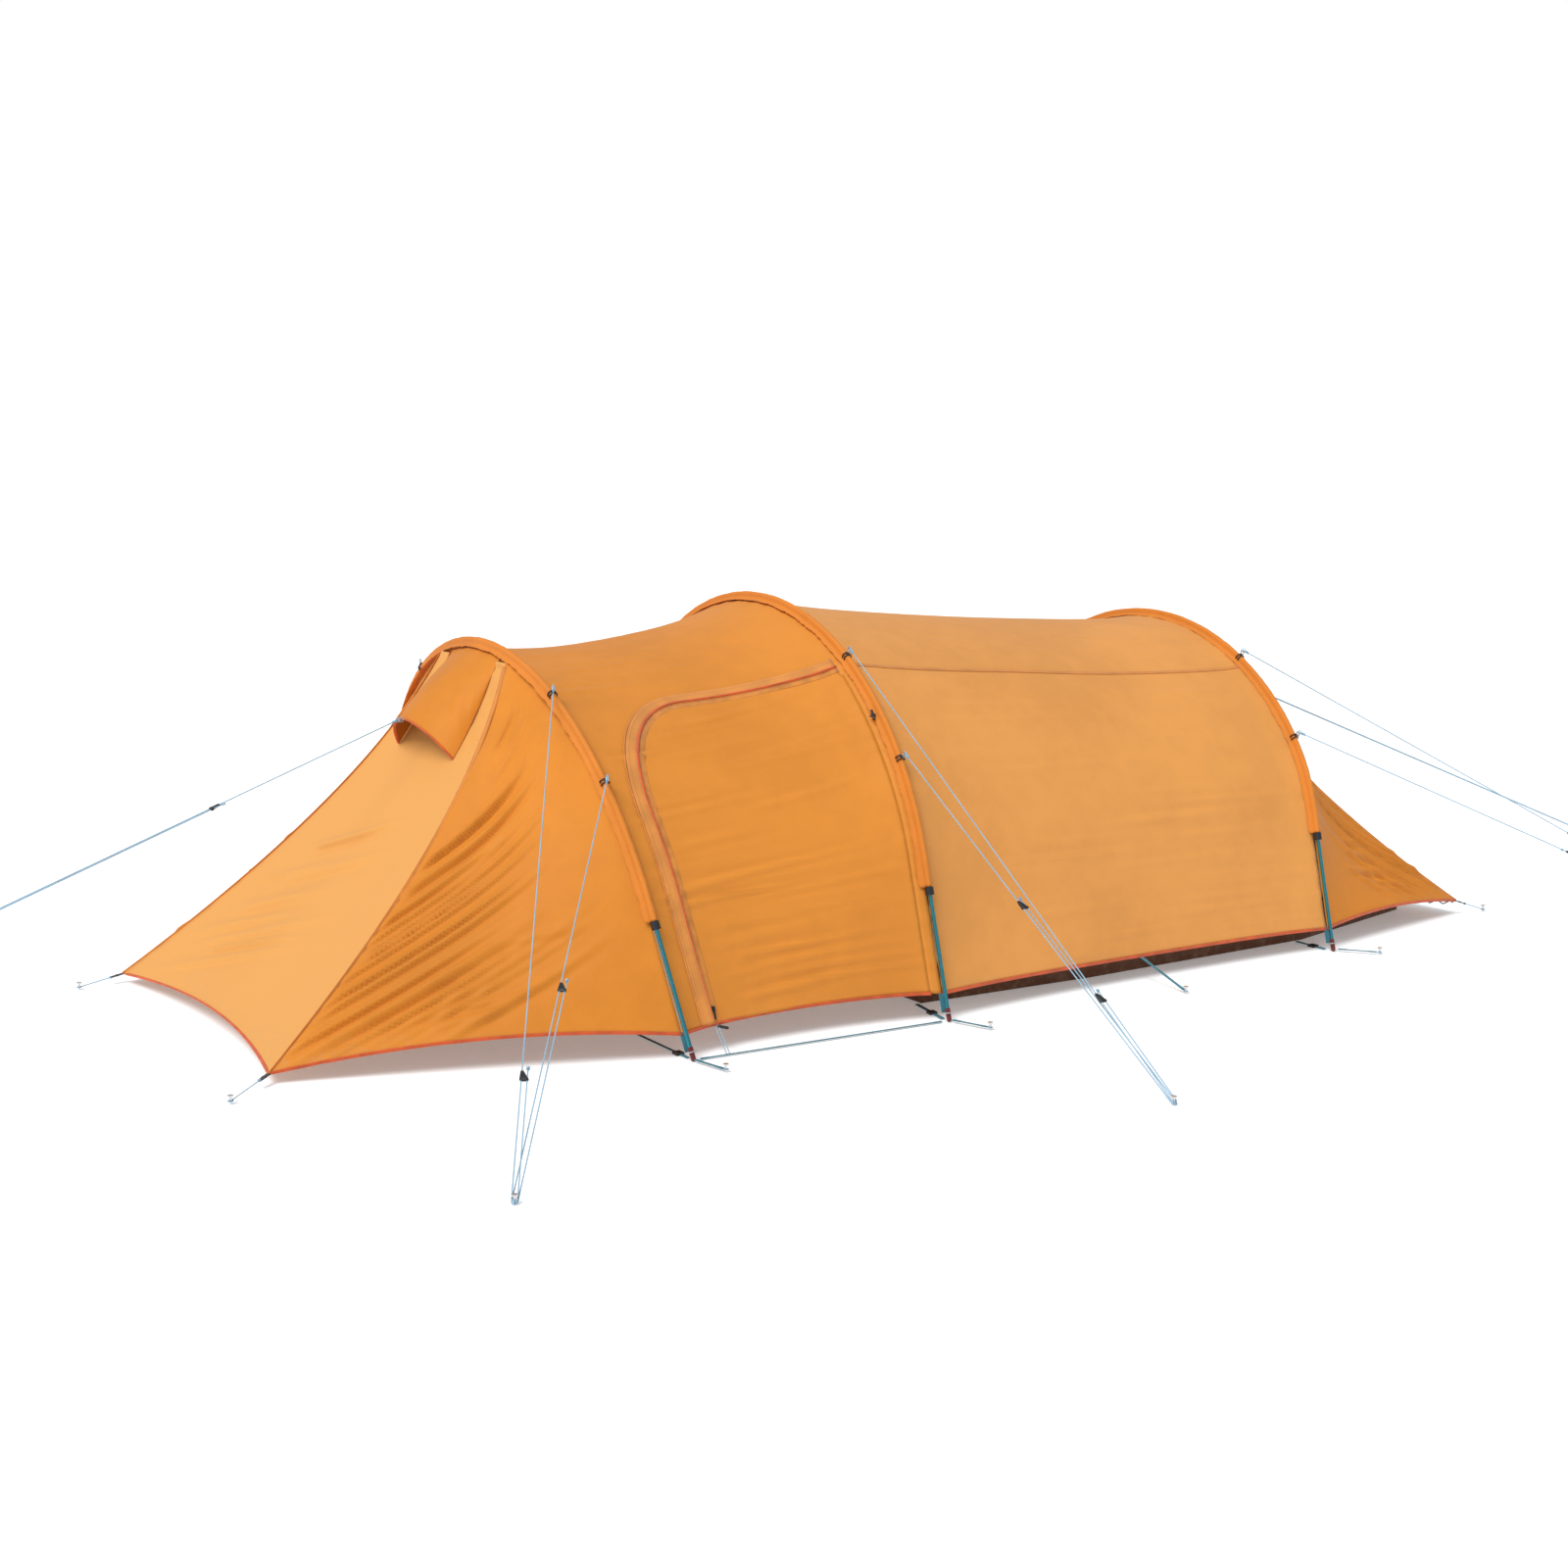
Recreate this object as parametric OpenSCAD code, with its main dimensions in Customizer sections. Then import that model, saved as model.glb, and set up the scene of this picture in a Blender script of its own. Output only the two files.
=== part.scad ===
// Three-hoop tunnel tent: fly, inner tent, bent poles, guy lines and ground fittings.
// Millimetres, +Z up, +X towards the low rear end, the side door faces -Y.

/* [Hoops] */
// Height of the front hoop along its leaning plane
front_h = 1103; // [1080:1:1120]
// Half of the front hoop's width on the ground
front_w = 1085; // [1075:1:1095]
// Lean of the front hoop towards the front, degrees
front_lean = 7; // [6:0.5:8]
// Height of the middle hoop
middle_h = 1200; // [1180:5:1220]
// Half of the middle hoop's width on the ground
middle_w = 1110; // [1100:1:1120]
// Height of the rear hoop along its leaning plane
rear_h = 1080; // [1070:1:1090]
// Half of the rear hoop's width on the ground
rear_w = 1035; // [1025:1:1045]
// Lean of the rear hoop towards the rear, degrees
rear_lean = 2.5; // [2:0.5:3]
// Place of the middle hoop along the tent
middle_x = -260; // [-265:1:-255]
// Distance from the middle hoop forward to the front hoop's feet
front_gap = 855; // [845:1:865]
// Distance from the middle hoop back to the rear hoop's feet
rear_gap = 1650; // [1640:1:1660]

/* [Poles] */
// Outer radius of the pole tubes
pole_r = 6; // [5.5:0.1:6]
// Wall of the pole tubes
pole_wall = 1; // [0.8:0.1:1.2]
// Outer radius of the fabric sleeve round a pole
sleeve_r = 12; // [11:0.5:12]
// Thickness of the sleeve cloth
sleeve_wall = 2; // [1.5:0.5:2.5]
// Length of bare pole between the ground and the sleeve
bare_leg = 405; // [395:5:415]

/* [Cloth] */
// Thickness of the fly and inner cloth
cloth_t = 0.8; // [0.6:0.1:1]
// Depth of the fly below the pole's centre line
fly_inset = 16; // [16:0.5:18]
// Depth of the inner tent below the pole's centre line
inner_inset = 90; // [85:1:95]
// Forward reach of the fly's front corners
front_reach = 2190; // [2180:1:2195]
// Rear reach of the fly's rear corners
rear_reach = 2211; // [2205:1:2215]
// Height of the groundsheet's side walls
tub_h = 120; // [110:5:125]

/* [Guy lines] */
// Diameter of the guy lines
guy_d = 3.5; // [3:0.5:3.5]
// Gap between the two strands round a peg
strand_gap = 14; // [14:0.5:15]
// Travel of each line tensioner
tensioner_travel = 120; // [100:5:120]

/* [Hidden] */
$fn = 32;

// A hoop: foot x, half width, height, lean, leg angle, leg length, shoulder angle
front_hoop = [middle_x - front_gap, front_w, front_h, -front_lean, 20, 450, 38];
middle_hoop = [middle_x, middle_w, middle_h, 0, 16, 500, 42];
rear_hoop = [middle_x + rear_gap, rear_w, rear_h, rear_lean, 16, 490, 40];

// Places round a hoop, as a share of its length from the near foot
hem_t = 0.024;
roof_t = 0.333;
seam_t = 0.427;
// Half of the gap between two sewn panels, as a share of a hoop
stitch = 0.001;
// Sag of the cloth: close to the hoops, then over the whole span
edge_sag = 14;
porch_sag = 42;
main_sag = 16;

// The zip: its straight part along the span, the corner's end, and half of its band
zip_s = 0.14;
zip_corner_t = 0.21;
zip_corner_s = 0.42;
zip_half = 7;

// End seams, from the hoop down to the corner peg: start, pull and end of a curve
front_seam = [[-1270, -235, 1045], [-1463, -396, 593], [-front_reach, -680, 30]];
rear_seam = [[1455, -235, 1028], [1590, -450, 560], [rear_reach, -827, 50]];
front_hood_apex = [-1497, 0, 867];
front_hood_corner = [-1442, -216, 778];
rear_hood_apex = [1695, 0, 860];
rear_hood_corner = [1596, -216, 778];
vent_v = 0.3;

// Ground pegs, near side and then the far side of the tent
near_pegs = [[-2335, -800], [-1093, -1221], [-212, -1245], [570, -1215], [1489, -1148], [2336, -848]];
far_pegs = [[-2335, 660], [-1093, 1221], [-212, 1245], [570, 1215], [1489, 1148], [2336, 848]];
peg_r = 3.5;
peg_h = 24;

// Guy pegs
front_hood_peg = [-3779, 0];
front_peg = [-2046, -1901];
middle_peg = [-266, -2101];
rear_peg = [2918, -1413];
rear_hood_peg = [3979, 0];
guy_peg_z = 12;
low_loop_z = 6;

// Share of the line from peg to ring at which each tensioner's base sits
front_hood_share = 0.74;
front_upper_share = 0.19;
front_lower_share = 0.44;
middle_upper_share = 0.19;
middle_lower_share = 0.52;
rear_upper_share = 0.3;
rear_lower_share = 0.36;
rear_hood_share = 0.86;

// Ring places round the hoops
upper_ring_t = [0.352, 0.338, 0.342];
lower_ring_t = [0.247, 0.224, 0.226];
ring_bore_r = 6;
ring_r = 9;
ring_stand = 11;

fly = [0.9, 0.56, 0.25];
fly_light = [0.93, 0.69, 0.43];
sleeve_colour = [0.88, 0.47, 0.13];
tub_colour = [0.38, 0.21, 0.11];
inner_colour = [0.93, 0.86, 0.66];
teal = [0.18, 0.44, 0.5];
black = [0.08, 0.08, 0.09];

// ---- Points on a hoop and on the cloth ----

function middle_arc_radii(h) =
    let (a = cos(h[4]) - cos(h[6]), b = cos(h[6]), c = sin(h[6]) - sin(h[4]), d = 1 - sin(h[6]))
    let (p = h[1] - h[5] * sin(h[4]), q = h[2] - h[5] * cos(h[4]), det = a * d - b * c)
    [(p * d - b * q) / det, (a * q - c * p) / det];

function turn(r, from, to) = r * (to - from) * PI / 180;

// Height and reach of the hoop's curve at a distance s along it, with its heading
function hoop_profile(h, s) =
    let (r = middle_arc_radii(h), leg = h[5], side = turn(r[0], h[4], h[6]))
    let (s1 = min(s, leg))
    let (a2 = min(max(h[4] + (s - leg) / r[0] * 180 / PI, h[4]), h[6]))
    let (a1 = min(max(h[6] + (s - leg - side) / r[1] * 180 / PI, h[6]), 90))
    [
        h[1] - s1 * sin(h[4]) + r[0] * (cos(a2) - cos(h[4])) + r[1] * (cos(a1) - cos(h[6])),
        s1 * cos(h[4]) + r[0] * (sin(a2) - sin(h[4])) + r[1] * (sin(a1) - sin(h[6])),
        s < leg ? h[4] : (s < leg + side ? a2 : a1)
    ];

function half_length(h) =
    let (r = middle_arc_radii(h)) h[5] + turn(r[0], h[4], h[6]) + turn(r[1], h[6], 90);

// Point at share t round a hoop, sunk by inset towards the inside
function hoop_pt(h, t, inset = 0) =
    let (p = hoop_profile(h, min(t, 1 - t) * 2 * half_length(h)))
    let (y = p[0] - inset * cos(p[2]), z = p[1] - inset * sin(p[2]), side = t <= 0.5 ? -1 : 1)
    [h[0] + sin(h[3]) * z, side * y, cos(h[3]) * z];

function unit(v) = v / norm(v);
function lerp(a, b, u) = a + (b - a) * u;
function bezier(p, u) = (1 - u) * (1 - u) * p[0] + 2 * u * (1 - u) * p[1] + u * u * p[2];

function inward(p) = unit([0, -p[1], 250 - p[2]]);
function sag_at(s, span_sag) = edge_sag * (1 - pow(abs(2 * s - 1), 6)) + span_sag * 4 * s * (1 - s);

// Cloth stretched from one hoop to the next: share s along the span, share t round it
function cloth_pt(h0, h1, s, t, span_sag, inset = fly_inset) =
    let (p = lerp(hoop_pt(h0, t, inset), hoop_pt(h1, t, inset), s))
    p + inward(p) * sag_at(s, span_sag);

function porch_pt(s, t) = cloth_pt(front_hoop, middle_hoop, s, t, porch_sag);
function main_pt(s, t) = cloth_pt(middle_hoop, rear_hoop, s, t, main_sag);

// Room beside the zip's line, as shares along the porch and round the hoop
zip_room = 0.013;
zip_room_t = 0.004;

// The zip's place along the span for a height t: straight, then a round corner.
// Out is 0 on the zip's line, 1 on the porch side of it and -1 on the door side.
function zip_at(t, out = 0) =
    let (k = max(0, min((t - zip_corner_t) / (roof_t - zip_corner_t + out * zip_room_t), 1)))
    zip_corner_s - (zip_corner_s - zip_s + out * zip_room) * sqrt(1 - k * k);

// Side of an end of the fly: v runs from the hem up, u from the hoop to the seam
function end_side_pt(h, seam, u, v, lift) =
    let (p = lerp(hoop_pt(h, lerp(hem_t, seam_t, v), fly_inset), bezier(seam, 1 - v), u))
    p + [0, 0, lift * 4 * u * (1 - u) * pow(1 - v, 3)] + inward(p) * 25 * 4 * u * (1 - u) * v * (1 - v) * 4;

// Middle panel of an end: u runs from seam to seam, -1 to 1, v from the hoop down
function end_panel_pt(seam, u, v, pull) =
    let (p = bezier(seam, v))
    [p[0], p[1] * -u, p[2]] + pull * (1 - u * u) * pow(v, 3);

// Hood over an end vent: v runs from the hoop out to its free edge
function hood_pt(h, corner, apex, u, v) =
    let (top = hoop_pt(h, 0.5 + 0.067 * u, fly_inset), k = 1 - u * u)
    let (edge = [lerp(corner[0], apex[0], k), -corner[1] * u, lerp(corner[2], apex[2], k)])
    lerp(top, edge, v) + [sign(apex[0]) * 12, 0, 12] * 4 * v * (1 - v) * k;

function mesh_pt(h, corner, u, v) =
    lerp(hoop_pt(h, 0.5 + 0.06 * u, fly_inset + 14),
         [corner[0] - sign(corner[0]) * 22, -corner[1] * 0.9 * u, corner[2] - 4], v);

// Inner tent under the main span, drawn in at the bottom to meet the groundsheet
function draw_in(p) = [p[0], p[1] * (1 - 0.175 * pow(max(0, 1 - p[2] / 500), 2)), p[2]];
function inner_pt(s, t) = draw_in(cloth_pt(middle_hoop, rear_hoop, s, t, main_sag, inner_inset));

inner_t = 0.038;
tub_rear_x = 2095;
tub_rear_mid_x = 2050;
tub_rear_y = 662;
function inner_rear_pt(t, v) =
    let (a = inner_pt(0.995, t), k = (t - inner_t) / (1 - 2 * inner_t) * 2 - 1)
    let (b = [lerp(tub_rear_mid_x, tub_rear_x, k * k) - 12, (tub_rear_y - 12) * k, tub_h + 4])
    let (c = [lerp(a[0], b[0], 0.22), lerp(a[1], b[1], 0.36), lerp(a[2], b[2], 0.5)])
    bezier([a, c, b], v);

// ---- Solids from points ----

function steps(from, to, n) = [for (i = [0:n]) from + (to - from) * i / n];
function flat(g) = [for (row = g) each row];

function grid_normal(g, i, j) =
    let (n = len(g) - 1, m = len(g[0]) - 1)
    let (di = g[min(i + 1, n)][j] - g[max(i - 1, 0)][j])
    let (dj = g[i][min(j + 1, m)] - g[i][max(j - 1, 0)])
    unit(cross(di, dj));

// A closed sheet of the given thickness through a grid of points
module sheet(g, thick = cloth_t) {
    n = len(g) - 1;
    m = len(g[0]) - 1;
    w = m + 1;
    b = (n + 1) * w;
    lift = [for (i = [0:n]) [for (j = [0:m]) grid_normal(g, i, j) * thick / 2]];
    top = [for (i = [0:n]) [for (j = [0:m]) g[i][j] + lift[i][j]]];
    low = [for (i = [0:n]) [for (j = [0:m]) g[i][j] - lift[i][j]]];
    skins = [for (i = [0:n - 1]) for (j = [0:m - 1]) let (k = i * w + j) each [
        [k, k + 1, k + w + 1],
        [k, k + w + 1, k + w],
        [b + k, b + k + w + 1, b + k + 1],
        [b + k, b + k + w, b + k + w + 1]
    ]];
    long_edges = [for (i = [0:n - 1]) let (k = i * w, e = i * w + m) each [
        [k, k + w, b + k + w],
        [k, b + k + w, b + k],
        [e + w, e, b + e],
        [e + w, b + e, b + e + w]
    ]];
    short_edges = [for (j = [0:m - 1]) let (k = j, e = n * w + j) each [
        [k + 1, k, b + k],
        [k + 1, b + k, b + k + 1],
        [e, e + 1, b + e + 1],
        [e, b + e + 1, b + e]
    ]];
    polyhedron(points = concat(flat(top), flat(low)), faces = concat(skins, long_edges, short_edges));
}

// A round cord swept along a route
module cord(route, d, sides = 8) {
    n = len(route) - 1;
    tangent = [for (i = [0:n]) unit(route[min(i + 1, n)] - route[max(i - 1, 0)])];
    side = unit(cross(route[n] - route[round(n / 2)], route[0] - route[round(n / 2)]));
    ring_points = [for (i = [0:n]) let (v = unit(cross(tangent[i], side)), u = cross(v, tangent[i]))
        for (k = [0:sides - 1]) route[i] + d / 2 * (u * cos(360 * k / sides) + v * sin(360 * k / sides))];
    walls = [for (i = [0:n - 1]) for (k = [0:sides - 1])
        let (a = i * sides + k, b = i * sides + (k + 1) % sides) each [
            [a, b, b + sides],
            [a, b + sides, a + sides]
    ]];
    ends = [[for (k = [sides - 1:-1:0]) k], [for (k = [0:sides - 1]) n * sides + k]];
    polyhedron(points = ring_points, faces = concat(walls, ends));
}

// A flat strap from p to q
module strap(p, q, wide, thick) {
    d = q - p;
    translate(p)
        rotate([0, -asin(d[2] / norm(d)), atan2(d[1], d[0])])
            translate([0, -wide / 2, -thick / 2])
                cube([norm(d), wide, thick]);
}

module both_sides() {
    children();
    mirror([0, 1, 0]) children();
}

// Stands children at the near foot of a hoop, +Z up the leg, -Y outwards
module at_leg(h, s) {
    translate([h[0], 0, 0])
        rotate([0, h[3], 0])
            translate([0, -h[1], 0])
                rotate([-h[4], 0, 0])
                    translate([0, 0, s]) children();
}

module ring_profile(r_out, r_in) {
    difference() {
        circle(r = r_out);
        circle(r = r_in);
    }
}

// Gap between the sections of a hoop
section_gap = 0.1;

// A tube that follows a hoop, from a distance up each leg, in five sections
module hoop_tube(h, r_out, r_in, from) {
    r = middle_arc_radii(h);
    low = hoop_profile(h, h[5]);
    high = hoop_profile(h, h[5] + turn(r[0], h[4], h[6]));
    both_sides() {
        at_leg(h, from) linear_extrude(h[5] - from - section_gap) ring_profile(r_out, r_in);
        translate([h[0], 0, 0]) rotate([0, h[3], 0])
            translate([0, -low[0] + r[0] * cos(h[4]), low[1] - r[0] * sin(h[4])])
                arc_tube(r[0], r_out, r_in, h[4], h[6]);
    }
    translate([h[0], 0, 0]) rotate([0, h[3], 0])
        translate([0, 0, high[1] - r[1] * sin(h[6])])
            arc_tube(r[1], r_out, r_in, h[6], 180 - h[6]);
}

// An arc of tube in the YZ plane, from one heading on the near side to another
module arc_tube(r, r_out, r_in, from, to) {
    gap = section_gap / r * 180 / PI;
    rotate([0, 90, 0])
        rotate([0, 0, 270 - to + gap / 2])
            rotate_extrude(angle = to - from - gap, $fn = 200)
                translate([r, 0]) ring_profile(r_out, r_in);
}

// ---- Fly ----

module main_roof() {
    color(fly_light)
        sheet([for (s = steps(0.003, 0.997, 12))
            [for (t = steps(roof_t + stitch, 1 - roof_t - stitch, 12)) main_pt(s, t)]]);
}

module main_side() {
    color(fly)
        sheet([for (s = steps(0.003, 0.997, 12))
            [for (t = steps(hem_t, roof_t - stitch, 10)) main_pt(s, t)]]);
}

module porch_roof() {
    color(fly)
        sheet([for (s = steps(0.005, 0.995, 10))
            [for (t = steps(roof_t + 3 * stitch, 1 - roof_t - 3 * stitch, 12)) porch_pt(s, t)]]);
}

module porch_side_near() {
    color(fly)
        sheet([for (t = steps(hem_t, roof_t - stitch, 36))
            [for (s = steps(0.005, zip_at(t, 1), 4)) porch_pt(s, t)]]);
}

module porch_side_far() {
    color(fly)
        sheet([for (s = steps(0.005, 0.995, 10))
            [for (t = steps(1 - roof_t + stitch, 1 - hem_t, 10)) porch_pt(s, t)]]);
}

module side_door() {
    color(fly)
        sheet([for (t = steps(hem_t, roof_t - 4 * stitch, 20))
            [for (s = steps(zip_at(t, -1), 0.965, 8)) porch_pt(s, t)]]);
}

module end_side(h, seam, lift) {
    color(fly)
        sheet([for (v = steps(0, 1, 12)) [for (u = steps(0.006 + 0.2 * pow(v, 8), 0.994 - 0.2 * pow(v, 8), 8))
            end_side_pt(h, seam, u, v, lift)]]);
}

// The end panel with an opening for the vent between its two ears
module end_panel(seam, pull) {
    color(fly_light) {
        sheet([for (v = steps(vent_v + 0.01, 1, 10)) [for (u = steps(-0.995, 0.995, 12))
            end_panel_pt(seam, u, v, pull)]]);
        both_sides()
            sheet([for (v = steps(0.04, vent_v, 4)) [for (u = steps(0.7 + 0.24 * (1 - v / vent_v), 0.99, 2))
                end_panel_pt(seam, u, v, pull)]]);
    }
}

module hood(h, corner, apex) {
    color(fly)
        sheet([for (v = steps(0.03, 1, 8)) [for (u = steps(-1, 1, 12)) hood_pt(h, corner, apex, u, v)]]);
}

module vent_mesh(h, corner) {
    color(black)
        sheet([for (v = steps(0.05, 1, 4)) [for (u = steps(-1, 1, 6)) mesh_pt(h, corner, u, v)]]);
}

front_pull = [65, 0, 25];
rear_pull = [-55, 0, 40];

// ---- Poles and their fittings ----

tip_r = 7.5;
tip_start = 8;
tip_len = 34;

module pole(h) {
    color(teal) hoop_tube(h, pole_r, pole_r - pole_wall, tip_start + 6);
}

module sleeve(h) {
    color(sleeve_colour) hoop_tube(h, sleeve_r, sleeve_r - sleeve_wall, bare_leg);
}

module each_foot() {
    for (h = [front_hoop, middle_hoop, rear_hoop]) both_sides() let ($hoop = h) children();
}

module pole_tips() {
    color([0.35, 0.07, 0.07])
        each_foot() at_leg($hoop, tip_start) difference() {
            union() {
                sphere(r = tip_r);
                cylinder(r = tip_r, h = tip_len);
            }
            translate([0, 0, 6]) cylinder(r = pole_r + 0.05, h = tip_len);
        }
}

collar_len = 24;
module sleeve_collars() {
    color(black)
        each_foot() at_leg($hoop, bare_leg - collar_len - 1)
            linear_extrude(collar_len) ring_profile(sleeve_r + 1, pole_r + 0.5);
}

eyelet_r = 15;
eyelet_h = 3;
eyelet_s = 26;
module foot_eyelets() {
    color([0.6, 0.62, 0.64])
        each_foot() at_leg($hoop, eyelet_s) linear_extrude(eyelet_h) ring_profile(eyelet_r, tip_r + 0.5);
}

module foot_straps() {
    color(teal)
        each_foot() at_leg($hoop, eyelet_s + eyelet_h + 0.5)
            translate([-10, fly_inset + 2, 0]) cube([20, 2, 42]);
}

module guy_ring(h, t) {
    p = hoop_pt(h, t, -(sleeve_r + ring_stand));
    root = hoop_pt(h, t, -(sleeve_r + 0.5));
    translate(p) rotate([0, h[3], 0]) rotate([0, 90, 0]) translate([0, 0, -1.5])
        linear_extrude(3) ring_profile(ring_r, ring_bore_r);
    difference() {
        strap(root, lerp(root, p, 0.35), 10, 2);
        translate(p) rotate([0, h[3], 0]) rotate([0, 90, 0]) cylinder(r = ring_bore_r, h = 20, center = true);
    }
}

hood_ring_reach = 12;
module hood_ring(apex) {
    translate(apex + [sign(apex[0]) * hood_ring_reach, 0, 0]) rotate([90, 0, 0]) translate([0, 0, -1.5])
        linear_extrude(3) ring_profile(ring_r, ring_bore_r);
}

hoops = [front_hoop, middle_hoop, rear_hoop];
module guy_rings() {
    color([0.55, 0.6, 0.62]) {
        both_sides() for (i = [0:2]) {
            guy_ring(hoops[i], upper_ring_t[i]);
            guy_ring(hoops[i], lower_ring_t[i]);
        }
        hood_ring(front_hood_apex);
        hood_ring(rear_hood_apex);
    }
}

// ---- Ground ----

module peg() {
    cylinder(r = peg_r, h = peg_h);
    translate([0, 0, peg_h - 4]) cylinder(r = 8, h = 4);
}

module ground_pegs() {
    color([0.62, 0.64, 0.66]) for (p = concat(near_pegs, far_pegs)) translate([p[0], p[1], 0]) peg();
}

module guy_pegs() {
    color([0.62, 0.64, 0.66])
        for (p = [front_hood_peg, front_peg, middle_peg, rear_peg, rear_hood_peg])
            translate([p[0], p[1], 0]) peg();
}

// A webbing loop from a fitting to a peg, closed by a ring round the peg
module peg_strap(from, peg_xy, wide) {
    to = [peg_xy[0], peg_xy[1], 8];
    strap(from, to + unit(from - to) * 9, wide, 2);
    translate(to - [0, 0, 1]) linear_extrude(2) ring_profile(10, peg_r + 1);
}

foot_reach = 19;
function foot_out(h, side, peg_xy) =
    let (foot = [h[0] + 4 * sign(h[3]), side * (h[1] - 9), 8])
    foot + unit([peg_xy[0], peg_xy[1], 8] - foot) * foot_reach;

// Which peg of a side each hoop's foot is strapped to
foot_peg = [1, 2, 4];
hem_mid = main_pt(0.5, hem_t);
module peg_straps() {
    color(teal) for (side = [-1, 1]) {
        pegs = side < 0 ? near_pegs : far_pegs;
        peg_strap([-front_reach - 6, side * 683, 28], pegs[0], 14);
        for (i = [0:2]) {
            peg_xy = pegs[foot_peg[i]];
            peg_strap(foot_out(hoops[i], side, peg_xy), peg_xy, 12);
        }
        peg_strap([hem_mid[0], side * (-hem_mid[1] + 6), hem_mid[2] - 4], pegs[3], 12);
        peg_strap([rear_reach + 6, side * 829, 48], pegs[5], 14);
    }
}

strap_z = 4;
module ground_straps() {
    color(teal) {
        both_sides() {
            strap([front_hoop[0] + 24, -front_hoop[1] + 6, strap_z],
                  [middle_hoop[0] - 24, -middle_hoop[1] + 8, strap_z], 10, 2);
            strap([middle_hoop[0], -middle_hoop[1] + 34, strap_z], [-226, -895, strap_z], 14, 2);
            strap([rear_hoop[0] - 6, -rear_hoop[1] + 34, strap_z], [1384, -868, strap_z], 14, 2);
            strap([rear_reach + 2, -816, 40], [tub_rear_x + 5, -tub_rear_y - 6, 40], 8, 2);
        }
        strap([front_hoop[0], -front_hoop[1] + 34, strap_z],
              [front_hoop[0], front_hoop[1] - 34, strap_z], 10, 2);
    }
}

// Ladder buckles that the cross straps run through
module buckle() {
    difference() {
        translate([-12, -14, 0]) cube([24, 28, 8]);
        translate([-8.5, -15, 2.3]) cube([17, 30, 3.4]);
    }
}

module strap_buckles() {
    color(black) both_sides() {
        translate([-245.7, -1000, 0]) rotate([0, 0, -10.6]) buckle();
        translate([front_hoop[0], -front_hoop[1] + 90, 0]) buckle();
        translate([1384.5, -945, 0]) buckle();
    }
}

// ---- Inner tent ----

tub_front_x = -205;
function tub_outline(k) = [
    [tub_front_x + k, -885 + k], [450, -897 + k], [1430, -850 + k], [tub_rear_x - k, -tub_rear_y + k],
    [tub_rear_mid_x - k, 0],
    [tub_rear_x - k, tub_rear_y - k], [1430, 850 - k], [450, 897 - k], [tub_front_x + k, 885 - k]
];

module groundsheet() {
    color(tub_colour) {
        linear_extrude(1.2) polygon(tub_outline(0));
        difference() {
            linear_extrude(tub_h) polygon(tub_outline(0));
            translate([0, 0, -1]) linear_extrude(tub_h + 2) polygon(tub_outline(1.2));
        }
    }
}

module inner_roof() {
    color(inner_colour)
        sheet([for (s = steps(0.045, 0.99, 8))
            [for (t = steps(roof_t + stitch, 1 - roof_t - stitch, 10)) inner_pt(s, t)]]);
}

module inner_side() {
    color(inner_colour)
        sheet([for (s = steps(0.045, 0.99, 8))
            [for (t = steps(inner_t, roof_t - stitch, 10)) inner_pt(s, t)]]);
}

module inner_rear_wall() {
    color(inner_colour)
        sheet([for (v = steps(0.01, 1, 8)) [for (t = steps(inner_t, 1 - inner_t, 16)) inner_rear_pt(t, v)]]);
}

// Outline of the inner front wall, and its round-topped doorway
wall_x = middle_x + 62;
door_w = 760;
door_low = 190;
door_spring = 520;
door_gap = 3;
wall_points = [for (t = steps(inner_t, 1 - inner_t, 32)) let (p = inner_pt(0.04, t)) [p[1], p[2]]];

module doorway(grow) {
    translate([-door_w / 2 - grow, door_low - grow])
        square([door_w + 2 * grow, door_spring - door_low + grow]);
    intersection() {
        translate([0, door_spring]) circle(r = door_w / 2 + grow, $fn = 64);
        translate([-door_w / 2 - grow, door_spring - 1]) square([door_w + 2 * grow, door_w]);
    }
}

module upright(thick) {
    translate([wall_x, 0, 0]) rotate([90, 0, 90]) linear_extrude(thick) children();
}

module inner_front_wall() {
    color(inner_colour)
        upright(1) difference() {
            polygon(wall_points);
            doorway(0);
        }
}

module inner_door() {
    color(inner_colour) upright(1) doorway(-door_gap);
}

module inner_hangers() {
    color(black) both_sides() for (h = [middle_hoop, rear_hoop]) for (t = [0.15, 0.25, 0.35, 0.45]) {
        shift = h[0] == middle_hoop[0] ? [78, 0, 0] : [-40, 0, 0];
        a = hoop_pt(h, t, fly_inset + 22) + shift;
        b = hoop_pt(h, t, inner_inset - 6) + shift;
        strap(a, b, 8, 3);
    }
}

// ---- Door fittings ----

zip_up = steps(hem_t + 0.002, zip_corner_t, 6);
zip_turn = steps(10, 90, 6);
zip_over = steps(zip_corner_s + 0.09, 0.96, 5);
zip_line = concat(
    [for (t = zip_up) [zip_s, t]],
    [for (a = zip_turn) [
        zip_corner_s - (zip_corner_s - zip_s) * cos(a),
        zip_corner_t + (roof_t - zip_corner_t) * sin(a)
    ]],
    [for (s = zip_over) [s, roof_t]]
);
zip_points = [for (q = zip_line) porch_pt(q[0], q[1])];

function along(p, i) = unit(p[min(i + 1, len(p) - 1)] - p[max(i - 1, 0)]);

module door_zip() {
    color([0.75, 0.2, 0.08])
        sheet([for (i = [0:len(zip_points) - 1])
            let (across = unit(cross(along(zip_points, i), inward(zip_points[i]))))
            [for (k = [-1, 0, 1]) zip_points[i] + across * k * zip_half]], 2);
}

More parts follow.
